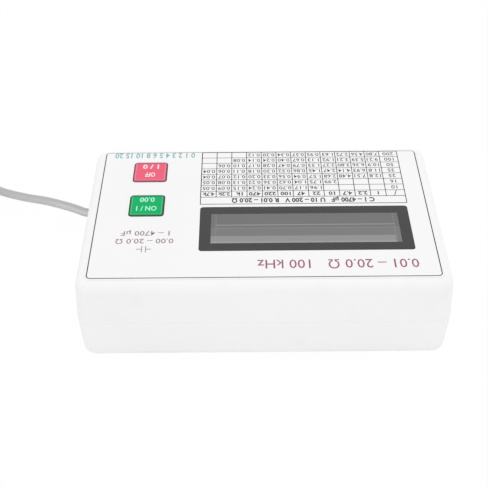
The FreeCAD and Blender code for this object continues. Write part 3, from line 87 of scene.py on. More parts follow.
class Reading:
    """A number that varies over a surface. Sums on readings add Math nodes to their finish."""

    def __init__(self, finish, socket):
        self.finish = finish
        self.socket = socket

    def maths(self, operation, *values, clamp=False):
        """A Math node on these values, as a new reading."""
        return self.finish.node("ShaderNodeMath", {"operation": operation, "use_clamp": clamp},
                                dict(enumerate(values)))

    def __add__(self, other):
        return self.maths("ADD", self, other)

    __radd__ = __add__

    def __sub__(self, other):
        return self.maths("SUBTRACT", self, other)

    def __rsub__(self, other):
        return self.maths("SUBTRACT", other, self)

    def __mul__(self, other):
        return self.maths("MULTIPLY", self, other)

    __rmul__ = __mul__

    def __truediv__(self, other):
        return self.maths("DIVIDE", self, other)

    def __rtruediv__(self, other):
        return self.maths("DIVIDE", other, self)

    def __mod__(self, other):
        return self.maths("FLOORED_MODULO", self, other)

    def __abs__(self):
        return self.maths("ABSOLUTE", self)

    def most(self, other):
        return self.maths("MAXIMUM", self, other)

    def least(self, other):
        return self.maths("MINIMUM", self, other)

    def above(self, edge, blur):
        """0 below the edge, 1 above it, with a ramp as wide as the blur."""
        return self.maths("MULTIPLY_ADD", self, 1 / blur, 0.5 - edge / blur, clamp=True)

    def below(self, edge, blur):
        """1 below the edge, 0 above it, with a ramp as wide as the blur."""
        return self.maths("MULTIPLY_ADD", self, -1 / blur, 0.5 + edge / blur, clamp=True)

    def between(self, low, high, blur):
        """1 from the low edge to the high one and 0 outside, with ramps as wide as the blur."""
        return self.above(low, blur) * self.below(high, blur)

    def in_cell(self, step):
        """How far past the middle of its cell, in a row of cells a step wide."""
        return self % step - step / 2


class Finish:
    """One material: a Principled shader with steady sockets, and nodes for what varies."""

    def __init__(self, name, **steady):
        self.material = bpy.data.materials.new(name)
        self.material.use_nodes = True
        self.tree = self.material.node_tree
        self.shader = self.tree.nodes["Principled BSDF"]
        self.shared = {}
        for keyword, value in steady.items():
            self.socket(keyword).default_value = value

    def socket(self, keyword):
        """The shader's socket for a keyword, such as base_color or ior."""
        return self.shader.inputs[keyword.replace("_", " ").title().replace("Ior", "IOR")]

    def node(self, kind, settings=None, sockets=None, output=0):
        """Any node: its settings are set first, then the values or links of its sockets."""
        made = self.tree.nodes.new(kind)
        for name, value in (settings or {}).items():
            setattr(made, name, value)
        for name, value in (sockets or {}).items():
            self.feed(made.inputs[name], value)
        return Reading(self, made.outputs[output])

    def feed(self, socket, value):
        """Links a reading to a socket, or sets the socket to a plain value."""
        if isinstance(value, Reading):
            self.tree.links.new(value.socket, socket)
        else:
            socket.default_value = value

    def paint(self, **varied):
        """Feeds what varies over the surface to the shader's sockets."""
        for keyword, value in varied.items():
            self.feed(self.socket(keyword), value)

    def place(self):
        """The surface point in metres, in the shared frame."""
        if "place" not in self.shared:
            self.shared["place"] = self.node("ShaderNodeTexCoord", output="Object")
        return self.shared["place"]

    def xyz(self):
        """The surface point's three readings in millimetres."""
        if "xyz" not in self.shared:
            scaled = self.node("ShaderNodeVectorMath", {"operation": "SCALE"},
                               {0: self.place(), "Scale": 1 / MM})
            self.shared["xyz"] = [self.node("ShaderNodeSeparateXYZ", None, {0: scaled}, axis)
                                  for axis in "XYZ"]
        return self.shared["xyz"]

    def noise(self, size, detail=2.0, stretch=(1, 1, 1)):
        """Cloudy variation about 0.5, with blobs of a size in millimetres."""
        where = self.node("ShaderNodeMapping", None, {0: self.place(), "Scale": stretch})
        return self.node("ShaderNodeTexNoise", None,
                         {"Vector": where, "Scale": 1 / (size * MM), "Detail": detail})

    def mix(self, factor, first, second):
        """A colour between two, by a factor."""
        first = first if isinstance(first, Reading) else (*first, 1)
        second = second if isinstance(second, Reading) else (*second, 1)
        return self.node("ShaderNodeMix", {"data_type": "RGBA"},
                         {MIX_FACTOR: factor, MIX_FIRST: first, MIX_SECOND: second}, MIX_RESULT)

    def cloudy(self, colour, darkest, palest, size, detail=2.0):
        """A colour that drifts between two tints of itself, in clouds of a size in millimetres."""
        return self.mix(self.noise(size, detail), tint(colour, darkest), tint(colour, palest))

    def uneven(self, middle, spread, size, detail=2.0):
        """A number that drifts about its middle, in clouds of a size in millimetres."""
        return (self.noise(size, detail) - 0.5) * spread + middle

    def bump(self, height, depth):
        """A Bump node whose height of 1 stands proud by a depth in millimetres."""
        return self.node("ShaderNodeBump", None, {"Height": height, "Distance": depth * MM, "Strength": 1.0})

    def grain(self, size, depth, detail=2.0):
        """A fine relief, with grains of a size and a depth in millimetres."""
        return self.bump(self.noise(size, detail), depth)


def tint(colour, factor):
    """A colour made darker or paler by a factor."""
    return tuple(min(1.0, part * factor) for part in colour)


def round_mark(x, y, squared_radius, blur):
    """1 in a round mark about the place where both readings are 0, and 0 outside."""
    return (x * x + y * y).below(squared_radius, blur)


def moulded(name, colour, roughness, grain=0.5, depth=0.01):
    """Moulded plastic or rubber: cloudy colour, uneven gloss and a fine grain."""
    finish = Finish(name)
    finish.paint(
        base_color=finish.cloudy(colour, 0.96, 1.04, size=9.0, detail=3.0),
        roughness=finish.uneven(roughness, spread=0.16, size=4.0),
        normal=finish.grain(grain, depth, detail=1.0),
    )
    return finish


def metal(name, colour, roughness, stretch=(1, 1, 1)):
    """Bare or plated metal with fine marks, drawn out by a stretch of its pattern."""
    finish = Finish(name, metallic=1.0)
    marks = finish.noise(0.6, detail=3.0, stretch=stretch)
    finish.paint(
        base_color=finish.cloudy(colour, 0.86, 1.1, size=5.0),
        roughness=(marks - 0.5) * 0.3 + roughness,
        normal=finish.bump(marks, depth=0.006),
    )
    return finish


# Finishes of the outside. A pair of colours is the darkest and the palest of a cloudy one.

WHITE = (0.945, 0.945, 0.945)
HANDLED_WHITE = (0.83, 0.828, 0.822)
FILM_WHITES = ((0.925, 0.925, 0.925), (0.95, 0.95, 0.95))


def shell_finish():
    """White moulded shell: spark-eroded grain and a trace of handling."""
    finish = Finish("shell_white", ior=1.5)
    cloud = finish.noise(30.0, detail=4.0)
    handled = finish.noise(7.0, detail=3.0).above(0.62, blur=0.16)
    clean = finish.mix(cloud, tint(WHITE, 0.985), tint(WHITE, 1.012))
    finish.paint(
        base_color=finish.mix(handled * 0.12, clean, HANDLED_WHITE),
        roughness=(cloud - 0.5) * 0.1 + handled * 0.08 + 0.46,
        normal=finish.grain(0.35, depth=0.006),
    )
    return finish


def label_finish():
    """White printed film with a very fine tooth."""
    finish = Finish("label_print", ior=1.46)
    cloud = finish.noise(22.0, detail=3.0)
    finish.paint(
        base_color=finish.mix(cloud, *FILM_WHITES),
        roughness=finish.uneven(0.42, spread=0.1, size=3.0),
        normal=finish.grain(0.22, depth=0.002, detail=1.0),
    )
    return finish


VIEW_LENGTH = 64.5
VIEW_WIDTH = 16.0
WINDOW_ALPHA = 0.86

# Grey bands and pale lines along the window, as shares of its width from the far side: painted shade in the
# far band, painted reflection in the near band, painted highlights in the lines
MIDDLE_BAND = 0.465
NEAR_REFLECTION_BAND = 0.765
NEAR_HIGHLIGHT_LINE = 0.95
FAR_HIGHLIGHT_LINE = (0.375, 0.405)
MIDDLE_HIGHLIGHT_LINE = (0.485, 0.515)

# At the window's ends, in millimetres: where the painted highlight lines stop, where the painted reflection
# of the near band stops on the left, and a faint pale line across
LINE_MARGIN = 1.7
NEAR_REFLECTION_MARGIN = 1.9
END_LINE = (1.5, 1.9)

# Greys of the window: painted shade in the far band, the middle band, painted reflection in the near band,
# painted highlight in the pale lines, and the faint end line
FAR_SHADE_GREY = (0.172, 0.172, 0.171)
MIDDLE_GREY = (0.202, 0.202, 0.2)
NEAR_REFLECTION_GREY = (0.308, 0.308, 0.306)
HIGHLIGHT_LINE_GREY = (0.4, 0.4, 0.398)
END_GREY = (0.5, 0.5, 0.5)
BORDER_BLACKS = ((0.02, 0.02, 0.021), (0.028, 0.028, 0.029))
GLASS_GREYS = ((0.25, 0.255, 0.25), (0.3, 0.305, 0.3))


def lens_finish():
    """Window with a dark printed border. Over the display it is grey, in bands across the width, with painted
    shade on the far side, a paler band of painted reflection near the front and pale lines of painted
    highlight; it veils the display.
    """
    finish = Finish("lens_clear", ior=1.49)
    centre = middle_mm("display_lens")
    x, y = finish.xyz()[:2]
    from_end = VIEW_LENGTH / 2 - abs(x - centre.x)
    border = from_end.least(VIEW_WIDTH / 2 - abs(y - centre.y)).below(0.0, blur=0.08)
    share = (y - (centre.y - VIEW_WIDTH / 2)) / VIEW_WIDTH
    past_left_end = (x - (centre.x - VIEW_LENGTH / 2)).above(NEAR_REFLECTION_MARGIN, blur=0.4)

    # Painted shade: the far band of the window is darker than the middle one
    grey = finish.mix(share.above(MIDDLE_BAND, blur=0.03), FAR_SHADE_GREY, MIDDLE_GREY)
    # Painted reflection: a paler near band, stopping short of the left end
    grey = finish.mix(share.above(NEAR_REFLECTION_BAND, blur=0.03) * past_left_end, grey, NEAR_REFLECTION_GREY)
    # Painted highlights: pale lines across the window, stopping short of its ends
    lines = share.between(*FAR_HIGHLIGHT_LINE, blur=0.02) * 0.7 + share.between(*MIDDLE_HIGHLIGHT_LINE, blur=0.02) * 0.15
    lines = lines * from_end.above(LINE_MARGIN, blur=0.2)
    near_highlight = share.above(NEAR_HIGHLIGHT_LINE, blur=0.015) * past_left_end * 0.75
    grey = finish.mix(lines.most(near_highlight), grey, HIGHLIGHT_LINE_GREY)
    grey = finish.mix(from_end.between(*END_LINE, blur=0.2) * 0.12, grey, END_GREY)

    black = finish.mix(finish.noise(6.0, detail=3.0), *BORDER_BLACKS)
    finish.paint(
        base_color=finish.mix(border, grey, black),
        roughness=finish.uneven(0.16, spread=0.06, size=2.5, detail=4.0),
        alpha=border * (1 - WINDOW_ALPHA) + WINDOW_ALPHA,
    )
    return finish


def glass_finish():
    """Grey reflective display glass, a little cloudy."""
    finish = Finish("lcd_grey", ior=1.5)
    cloud = finish.noise(3.0)
    finish.paint(
        base_color=finish.mix(cloud, *GLASS_GREYS),
        roughness=(cloud - 0.5) * 0.08 + 0.3,
        normal=finish.grain(0.3, depth=0.001),
    )
    return finish


# Print, painted shade and a painted highlight on a key, measured in from its sides
KEY_SIDE = 11.8
KEY_EDGE = 0.35
KEY_FAR_SHADE = 1.1
KEY_HIGHLIGHT = (0.45, 0.75)


def key_finish(name, node, colour, edge_print_and_shade_colour, highlight_colour):
    """A printed key: coloured field, a thin pale line of painted highlight, and a dark edge that is partly
    printed outline and partly painted shade, broadened on the far side by painted shade.
    """
    finish = Finish(name, ior=1.47, specular_ior_level=0.1)
    centre = middle_mm(node)
    x, y = finish.xyz()[:2]
    from_edge = KEY_SIDE / 2 - abs(x - centre.x).most(abs(y - centre.y))
    from_far_side = y - (centre.y - KEY_SIDE / 2)
    # Painted shade: the dark edge is broader on the far side
    far_shade = from_far_side.below(KEY_FAR_SHADE, blur=0.4) * 0.8
    field = finish.cloudy(colour, 0.96, 1.05, size=4.0, detail=3.0)
    # Painted highlight: a thin pale line along the cap's bevelled edge
    highlighted = finish.mix(from_edge.between(*KEY_HIGHLIGHT, blur=0.12) * 0.5, field, highlight_colour)
    finish.paint(
        # The dark edge is partly a printed outline and partly painted shade of the gap round the cap
        base_color=finish.mix(from_edge.below(KEY_EDGE, blur=0.12).most(far_shade), highlighted, edge_print_and_shade_colour),
        roughness=finish.uneven(0.42, spread=0.12, size=1.5),
        normal=finish.grain(0.3, depth=0.004),
    )
    return finish


def lead_finish(name, colour, roughness):
    """Smooth extruded jacket with faint draw marks and rubbed patches."""
    finish = Finish(name, ior=1.5)
    rubbed = finish.noise(5.0, detail=4.0).above(0.6, blur=0.2)
    jacket = finish.cloudy(colour, 0.94, 1.05, size=14.0)
    finish.paint(
        base_color=finish.mix(rubbed * 0.2, jacket, tint(colour, 1.2)),
        roughness=rubbed * 0.1 + roughness,
        normal=finish.grain(0.5, depth=0.008),
    )
    return finish


# Places round the long lead's jacket, in turns, of its painted shade on top and its painted highlight streak,
# and the X at which the highlight fades
JACKET_TURN = 0.2
SHADED_TOP = (0.3, 0.6)
HIGHLIGHT_STREAK = (0.16, 0.27)
HIGHLIGHT_FADES_AT = 80.0
JACKET_GREYS = ((0.5, 0.5, 0.498), (0.55, 0.55, 0.547))
TOP_SHADE_GREY = (0.455, 0.455, 0.453)
HIGHLIGHT_GREY = (0.615, 0.615, 0.612)


def jacket_finish():
    """Grey jacket of the long lead: painted shade on top, and a paler painted highlight in a streak along its
    near side.
    """
    finish = Finish("lead_jacket", ior=1.5)
    x = finish.xyz()[0]
    wrapped = finish.node("ShaderNodeUVMap", {"uv_map": "UVMap"})
    around = (finish.node("ShaderNodeSeparateXYZ", None, {0: wrapped}, "Y") + JACKET_TURN) % 1.0
    cloud = finish.noise(14.0)
    grey = finish.mix(cloud, *JACKET_GREYS)
    # Painted shade: the top of the lead is darker
    grey = finish.mix(around.between(*SHADED_TOP, blur=0.1), grey, TOP_SHADE_GREY)
    # Painted highlight: a paler streak along the near side, fainter past its X
    highlight_streak = around.between(*HIGHLIGHT_STREAK, blur=0.06) * (x.below(HIGHLIGHT_FADES_AT, blur=8.0) * 0.7 + 0.3)
    finish.paint(
        base_color=finish.mix(highlight_streak, grey, HIGHLIGHT_GREY),
        roughness=(cloud - 0.5) * 0.1 + 0.4,
        normal=finish.grain(0.5, depth=0.008),
    )
    return finish


def ink(name, colour, roughness=0.45):
    """Screen ink: a little uneven in density."""
    finish = Finish(name, ior=1.46)
    finish.paint(
        base_color=finish.cloudy(colour, 0.86, 1.12, size=0.8, detail=3.0),
        roughness=finish.uneven(roughness, spread=0.12, size=1.2),
        normal=finish.grain(0.15, depth=0.001),
    )
    return finish


# Finishes of the inside

TRACK_STEP = 1.27
TRACK_HALF_WIDTH = 0.2
BOARD_MARK_STEP = 10.16
MASK_GREENS = ((0.012, 0.1, 0.035), (0.018, 0.14, 0.05))
TRACK_GREEN = (0.03, 0.22, 0.08)
BOARD_MARK_WHITE = (0.8, 0.8, 0.76)


def board_finish():
    """Solder mask over a grid of tracks, with white component marks."""
    finish = Finish("board_green", ior=1.5)
    x, y = finish.xyz()[:2]
    pick = finish.noise(5.0, detail=1.0)
    rows = abs(y.in_cell(TRACK_STEP)).below(TRACK_HALF_WIDTH, blur=0.06) * pick.above(0.5, blur=0.02)
    columns = abs(x.in_cell(TRACK_STEP)).below(TRACK_HALF_WIDTH, blur=0.06) * pick.below(0.44, blur=0.02)
    track = rows.most(columns)
    some = finish.noise(4.0, detail=0.0).above(0.56, blur=0.02)
    marks = abs(x.in_cell(BOARD_MARK_STEP)).below(0.14, blur=0.05) * some
    mask = finish.mix(finish.noise(12.0, detail=3.0), *MASK_GREENS)
    green = finish.mix(track, mask, TRACK_GREEN)
    finish.paint(
        base_color=finish.mix(marks, green, BOARD_MARK_WHITE),
        roughness=0.36 - track * 0.08,
        normal=finish.bump(track, depth=0.03),
    )
    return finish


LEG_REACH = 0.9
RESIN_BLACKS = ((0.014, 0.014, 0.015), (0.03, 0.03, 0.032))
RESIN_MARK_GREY = (0.2, 0.2, 0.2)
TINNED_LEG = (0.68, 0.67, 0.64)


def chip_finish(name, node):
    """Moulded resin with a lighter round mark, and tinned legs beyond its near and far sides."""
    finish = Finish(name, ior=1.5)
    low, high = box_mm(node)
    x, y = finish.xyz()[:2]
    legs = abs(y - (low.y + high.y) / 2).above((high.y - low.y) / 2 - LEG_REACH, blur=0.05)
    mark = round_mark(x - (low.x + (high.x - low.x) * 0.2), y - (low.y + (high.y - low.y) * 0.3),
                      squared_radius=0.2, blur=0.1)
    resin = finish.mix(finish.noise(0.5, detail=3.0), *RESIN_BLACKS)
    marked = finish.mix(mark * 0.5, resin, RESIN_MARK_GREY)
    finish.paint(
        base_color=finish.mix(legs, marked, TINNED_LEG),
        metallic=legs,
        roughness=0.55 - legs * 0.25,
        normal=finish.grain(0.25, depth=0.006),
    )
    return finish


CAN_RIM = 0.25
CAN_LEGS = 0.4
CAN_STEP = 11.0
CAN_STRIPE = (1.0, 2.4)
SLEEVE_BLUES = ((0.01, 0.02, 0.06), (0.016, 0.03, 0.085))
STRIPE_GREY = (0.55, 0.57, 0.6)
ALUMINIUM = (0.74, 0.75, 0.76)


def can_finish():
    """Shrunk sleeve round a can: dark with a pale stripe of polarity, bare aluminium on top."""
    finish = Finish("capacitor_sleeve", ior=1.5)
    low, high = box_mm("electrolytic_capacitors")
    x = finish.xyz()[0]
    z = finish.xyz()[2]
    bare = z.above(high.z - CAN_RIM, blur=0.1).most(z.below(low.z + CAN_LEGS, blur=0.1))
    stripe = (x % CAN_STEP).between(*CAN_STRIPE, blur=0.2)
    sleeve = finish.mix(finish.noise(2.0), *SLEEVE_BLUES)
    striped = finish.mix(stripe, sleeve, STRIPE_GREY)
    finish.paint(
        base_color=finish.mix(bare, striped, ALUMINIUM),
        metallic=bare,
        roughness=0.3 + finish.noise(1.0) * 0.15,
        normal=finish.grain(0.6, depth=0.01),
    )
    return finish


TINNED_LENGTH = 0.35
TINNED_END = (0.7, 0.69, 0.66)


def banded_finish(name, colour, band_colour, band, step):
    """Small parts that repeat by a step along X: a body, one band of another colour and a tinned end."""
    finish = Finish(name, ior=1.5)
    along = finish.xyz()[0] % step
    body = finish.cloudy(colour, 0.85, 1.2, size=0.6)
    banded = finish.mix(along.between(*band, blur=0.08), body, band_colour)
    ends = along.below(TINNED_LENGTH, blur=0.06)
    finish.paint(
        base_color=finish.mix(ends, banded, TINNED_END),
        metallic=ends,
        roughness=0.45 - ends * 0.15,
        normal=finish.grain(0.3, depth=0.006),
    )
    return finish


# The battery's pale band and rolled edges, as shares of its length
BATTERY_BAND = (0.72, 0.8)
BATTERY_EDGE = 0.03
BATTERY_BLUES = ((0.02, 0.03, 0.12), (0.03, 0.045, 0.16))
BAND_CREAM = (0.7, 0.66, 0.5)
SCUFF_GREY = (0.3, 0.3, 0.32)
ROLLED_STEEL = (0.6, 0.6, 0.58)


def battery_finish():
    """Lacquered jacket: dark blue with a pale band near the terminals, and rolled steel edges."""
    finish = Finish("battery_jacket", ior=1.5, coat_roughness=0.1)
    low, high = box_mm("battery")
    axis = long_axis(low, high)
    share = (finish.xyz()[axis] - low[axis]) / (high[axis] - low[axis])
    edge = share.above(1 - BATTERY_EDGE, blur=0.005).most(share.below(BATTERY_EDGE, blur=0.005))
    scuffs = finish.noise(3.0, detail=4.0).above(0.64, blur=0.1)
    blue = finish.mix(finish.noise(9.0), *BATTERY_BLUES)
    banded = finish.mix(share.between(*BATTERY_BAND, blur=0.01), blue, BAND_CREAM)
    worn = finish.mix(scuffs * 0.3, banded, SCUFF_GREY)
    finish.paint(
        base_color=finish.mix(edge, worn, ROLLED_STEEL),
        metallic=edge,
        roughness=0.28 + scuffs * 0.2,
        coat_weight=0.4 - scuffs * 0.3,
        normal=finish.bump(scuffs, depth=0.01),
    )
    return finish


CARBON_STEP = 0.5
CARBON_LAYER = (0.12, 0.36)
SILICONE = (0.62, 0.5, 0.46)
CARBON = (0.03, 0.03, 0.03)


def contact_finish():
    """Contact rubber: fine carbon layers between pale silicone."""
    finish = Finish("contact_rubber", ior=1.42)
    layer = (finish.xyz()[0] % CARBON_STEP).between(*CARBON_LAYER, blur=0.06)
    finish.paint(
        base_color=finish.mix(layer, SILICONE, CARBON),
        roughness=finish.uneven(0.55, spread=0.2, size=0.8),
        normal=finish.bump(layer, depth=0.01),
    )
    return finish


PIN_STEP = 2.54
PIN_HALF_WIDTH = 0.4
CARRIER_BLACKS = ((0.014, 0.014, 0.014), (0.03, 0.03, 0.03))
PIN_GOLD = (0.78, 0.56, 0.24)


def header_finish():
    """Pin strip: black carrier with gold pins through it."""
    finish = Finish("pin_strip", ior=1.5)
    low, high = box_mm("display_header")
    axis = long_axis(low, high)
    along = finish.xyz()[axis]
    across = finish.xyz()[1 - axis] - middle_mm("display_header")[1 - axis]
    pin = (abs(across).below(PIN_HALF_WIDTH, blur=0.05)
           * abs(along.in_cell(PIN_STEP)).below(PIN_HALF_WIDTH, blur=0.05))
    carrier = finish.mix(finish.noise(0.8), *CARRIER_BLACKS)
    finish.paint(
        base_color=finish.mix(pin, carrier, PIN_GOLD),
        metallic=pin,
        roughness=0.5 - pin * 0.22,
        normal=finish.grain(0.4, depth=0.006),
    )
    return finish


GUIDE_DOT_STEP = 1.2
GUIDE_MILK = (0.7, 0.76, 0.66)
GUIDE_DOT = (0.9, 0.92, 0.88)


def light_guide_finish():
    """Milky light guide with a field of small dots."""
    finish = Finish("light_guide", ior=1.49, transmission_weight=0.35)
    x, y = finish.xyz()[:2]
    dots = round_mark(x.in_cell(GUIDE_DOT_STEP), y.in_cell(GUIDE_DOT_STEP), squared_radius=0.08, blur=0.05)
    finish.paint(
        base_color=finish.mix(dots, GUIDE_MILK, GUIDE_DOT),
        roughness=0.25 + dots * 0.3,
        normal=finish.bump(dots, depth=0.02),
    )
    return finish


def make_finishes():
    """Each record slot's finish, and the pieces that have one of their own."""
    by_slot = {
        "shell_white": shell_finish(),
        "label_print": label_finish(),
        "lens_clear": lens_finish(),
        "black_plastic": moulded("black_plastic", (0.022, 0.022, 0.023), 0.5),
        "switch_plastic": moulded("switch_plastic", (0.03, 0.03, 0.032), 0.48),
        "spring_steel": metal("spring_steel", (0.66, 0.65, 0.63), 0.3),
        "fastener_steel": metal("fastener_zinc", (0.6, 0.6, 0.59), 0.34),
        "bezel_steel": moulded("bezel_black", (0.012, 0.012, 0.013), 0.4, grain=0.3, depth=0.004),
        "lcd_glass": glass_finish(),
        "contact_rubber": contact_finish(),
        "light_guide": light_guide_finish(),
        "board_green": board_finish(),
        "chip_resin": moulded("chip_resin", (0.018, 0.018, 0.019), 0.52, grain=0.25, depth=0.006),
        "standoff_nylon": moulded("standoff_nylon", (0.78, 0.77, 0.71), 0.42),
        "can_aluminium": metal("can_aluminium", ALUMINIUM, 0.34, stretch=(1, 1, 0.1)),
        "battery_jacket": battery_finish(),
        "nickel": metal("nickel_plate", (0.7, 0.68, 0.62), 0.24),
        "wire_red": lead_finish("wire_red", (0.5, 0.02, 0.018), 0.42),
        "wire_black": lead_finish("wire_black", (0.018, 0.018, 0.018), 0.42),
        "lead_grey": lead_finish("lead_grey", (0.565, 0.565, 0.562), 0.34),
        "tie_nylon": moulded("tie_nylon", (0.03, 0.03, 0.03), 0.45),
        "probe_red": moulded("probe_red", (0.5, 0.016, 0.018), 0.4, grain=0.4, depth=0.012),
        "probe_black": moulded("probe_black", (0.018, 0.018, 0.019), 0.42, grain=0.4, depth=0.012),
    }
    by_node = {
        # Each key's edge colour is printed outline and painted shade; its line colour is a painted highlight
        "on_key_cap": key_finish("key_green", "on_key_cap", colour=(0.003, 0.45, 0.138),
                                 edge_print_and_shade_colour=(0.035, 0.15, 0.08), highlight_colour=(0.22, 0.62, 0.36)),
        "off_key_cap": key_finish("key_red", "off_key_cap", colour=(0.86, 0.13, 0.21),
                                  edge_print_and_shade_colour=(0.42, 0.123, 0.177), highlight_colour=(0.95, 0.42, 0.52)),
        "microcontroller": chip_finish("controller_resin", "microcontroller"),
        "amplifier_chip": chip_finish("amplifier_resin", "amplifier_chip"),
        "electrolytic_capacitors": can_finish(),
        "protection_diodes": banded_finish("diode_body", (0.02, 0.02, 0.02), (0.7, 0.7, 0.68),
                                           band=(3.2, 3.8), step=5.0),
        "chip_resistors": banded_finish("resistor_body", (0.02, 0.02, 0.022), (0.04, 0.04, 0.045),
                                        band=(0.8, 1.4), step=2.2),
        "display_header": header_finish(),
    }
    return by_slot, by_node


SLOT_FINISH, NODE_FINISH = make_finishes()


def dress_nodes():
    """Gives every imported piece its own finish, or that of its slot."""
    for name, piece in NODES.items():
        finish = NODE_FINISH.get(name) or SLOT_FINISH[SLOTS[name]]
        piece.data.materials.clear()
        piece.data.materials.append(finish.material)


# New pieces

def add_object(name, data):
    """A new object at the origin, linked to the scene."""
    made = bpy.data.objects.new(name, data)
    bpy.context.scene.collection.objects.link(made)
    return made


def evaluated_mesh(holder):
    """The plain mesh that a text or a modifier gives."""
    graph = bpy.context.evaluated_depsgraph_get()
    return bpy.data.meshes.new_from_object(holder.evaluated_get(graph))


def add_piece(name, mesh, finish, body="case"):
    """A mesh as a named piece, with a finish, that rides on a body."""
    piece = add_object(name, mesh)
    mesh.materials.clear()
    mesh.materials.append(finish.material)
    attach(piece, body)


def joined(name, meshes):
    """One mesh from several, which are then dropped."""
    whole = bmesh.new()
    for mesh in meshes:
        whole.from_mesh(mesh)
        bpy.data.meshes.remove(mesh)
    mesh = bpy.data.meshes.new(name)
    whole.to_mesh(mesh)
    whole.free()
    return mesh


def add_print(name, meshes, finish, body="case"):
    """Several printed meshes as one piece."""
    add_piece(name, joined(name, meshes), finish, body)


# Repeated bars and rings

class Row:
    """A Geometry Nodes tree that repeats one shape along a line, with named inputs for its sizes."""

    def __init__(self, name, sizes):
        self.group = bpy.data.node_groups.new(name, "GeometryNodeTree")
        inputs = {"Count": "NodeSocketInt", "First": "NodeSocketVector", "Step": "NodeSocketVector",
                  **sizes, "Finish": "NodeSocketMaterial"}
        for label, kind in inputs.items():
            self.group.interface.new_socket(label, in_out="INPUT", socket_type=kind)
        self.group.interface.new_socket("Geometry", in_out="OUTPUT", socket_type="NodeSocketGeometry")
        self.inputs = self.group.nodes.new("NodeGroupInput").outputs

    def node(self, kind, settings=None, sockets=None):
        """Any node: its settings are set first, then the values or links of its sockets."""
        made = self.group.nodes.new(kind)
        for name, value in (settings or {}).items():
            setattr(made, name, value)
        for name, value in (sockets or {}).items():
            if isinstance(value, bpy.types.NodeSocket):
                self.group.links.new(value, made.inputs[name])
            else:
                made.inputs[name].default_value = value
        return made.outputs[0]

    def close(self, shape):
        """Sets the shape on every point of the line, as solid geometry with its finish."""
        points = self.node("GeometryNodeMeshLine", {"mode": "OFFSET"}, {
            "Count": self.inputs["Count"],
            "Start Location": self.inputs["First"],
            "Offset": self.inputs["Step"],
        })
        copies = self.node("GeometryNodeInstanceOnPoints", None, {"Points": points, "Instance": shape})
        solid = self.node("GeometryNodeRealizeInstances", None, {0: copies})
        finished = self.node("GeometryNodeSetMaterial", None, {0: solid, "Material": self.inputs["Finish"]})
        end = self.group.nodes.new("NodeGroupOutput")
        self.group.links.new(finished, end.inputs[0])

    def mesh(self, name, values):
        """The tree's result for these inputs, as a plain mesh."""
        holder = add_object(name, bpy.data.meshes.new(name))
        modifier = holder.modifiers.new(name, "NODES")
        modifier.node_group = self.group
        for item in self.group.interface.items_tree:
            if item.in_out == "INPUT":
                modifier[item.identifier] = values[item.name]
        mesh = evaluated_mesh(holder)
        holder.modifiers.remove(modifier)
        bpy.data.objects.remove(holder)
        return mesh


def make_bars():
    """A row of equal bars, by the size of one bar."""
    row = Row("row_of_bars", {"Size": "NodeSocketVector"})
    row.close(row.node("GeometryNodeMeshCube", None, {"Size": row.inputs["Size"]}))
    return row


RING_SEGMENTS = 40
RING_PROFILE_SEGMENTS = 8


def make_rings():
    """A row of rings round an axis along Y, by their radius and the radius of their section."""
    row = Row("row_of_rings", {"Radius": "NodeSocketFloat", "Thickness": "NodeSocketFloat"})
    path = row.node("GeometryNodeCurvePrimitiveCircle", None,
                    {"Resolution": RING_SEGMENTS, "Radius": row.inputs["Radius"]})
    profile = row.node("GeometryNodeCurvePrimitiveCircle", None,
                       {"Resolution": RING_PROFILE_SEGMENTS, "Radius": row.inputs["Thickness"]})
    ring = row.node("GeometryNodeCurveToMesh", None, {"Curve": path, "Profile Curve": profile})
    row.close(row.node("GeometryNodeTransform", None, {"Geometry": ring, "Rotation": (math.pi / 2, 0, 0)}))
    return row


BARS = make_bars()
RINGS = make_rings()


# Print on the panel

INK_THICKNESS = 0.012
INK_SINK = 0.002

# Height of a digit, as a share of its font's size
DIGIT_SHARE = 0.7

INK_BLACK = ink("ink_black", (0.05, 0.05, 0.052))
INK_GREY = ink("ink_grey", (0.12, 0.12, 0.125))
INK_NUMBER = ink("ink_number", (0.06, 0.06, 0.063))
INK_FAINT = ink("ink_faint", (0.3, 0.3, 0.305))
INK_MAGENTA = ink("ink_magenta", (0.36, 0.1, 0.2))
INK_ROSE = ink("ink_rose", (0.36, 0.23, 0.27))
INK_TEAL = ink("ink_teal", (0.24, 0.5, 0.51))


def ink_middle(level):
    """Height of the middle of an ink film, which sinks a little into the level face below it."""
    return level + INK_THICKNESS / 2 - INK_SINK


def bars(first, size, finish, count=1, step=(0, 0), level=LABEL_TOP):
    """Printed bars on a level face. Lengths in millimetres."""
    return BARS.mesh("bars", {
        "Count": count,
        "First": Vector((*first, ink_middle(level))) * MM,
        "Step": Vector((*step, 0)) * MM,
        "Size": Vector((*size, INK_THICKNESS)) * MM,
        "Finish": finish.material,
    })


def words(text, x, y, height, widest, weight=0.0, level=LABEL_TOP):
    """A line of print as a thin mesh, centred on a point: digits of a height, drawn in to a width."""
    curve = bpy.data.curves.new("words", "FONT")
    curve.body = text
    curve.size = height / DIGIT_SHARE
    curve.resolution_u = 2
    curve.offset = weight
    curve.extrude = INK_THICKNESS / 2
    holder = add_object("words", curve)
    mesh = evaluated_mesh(holder)
    bpy.data.objects.remove(holder)
    bpy.data.curves.remove(curve)
    across = [v.co.x for v in mesh.vertices]
    middle = (min(across) + max(across)) / 2
    squeeze = min(1.0, widest / (max(across) - min(across)))
    mesh.transform(Matrix.Translation((-middle, -height / 2, 0)))
    mesh.transform(Matrix.Diagonal((squeeze, 1, 1, 1)))
    mesh.transform(Matrix.Translation((x, y, ink_middle(level))))
    mesh.transform(Matrix.Scale(MM, 4))
    return mesh


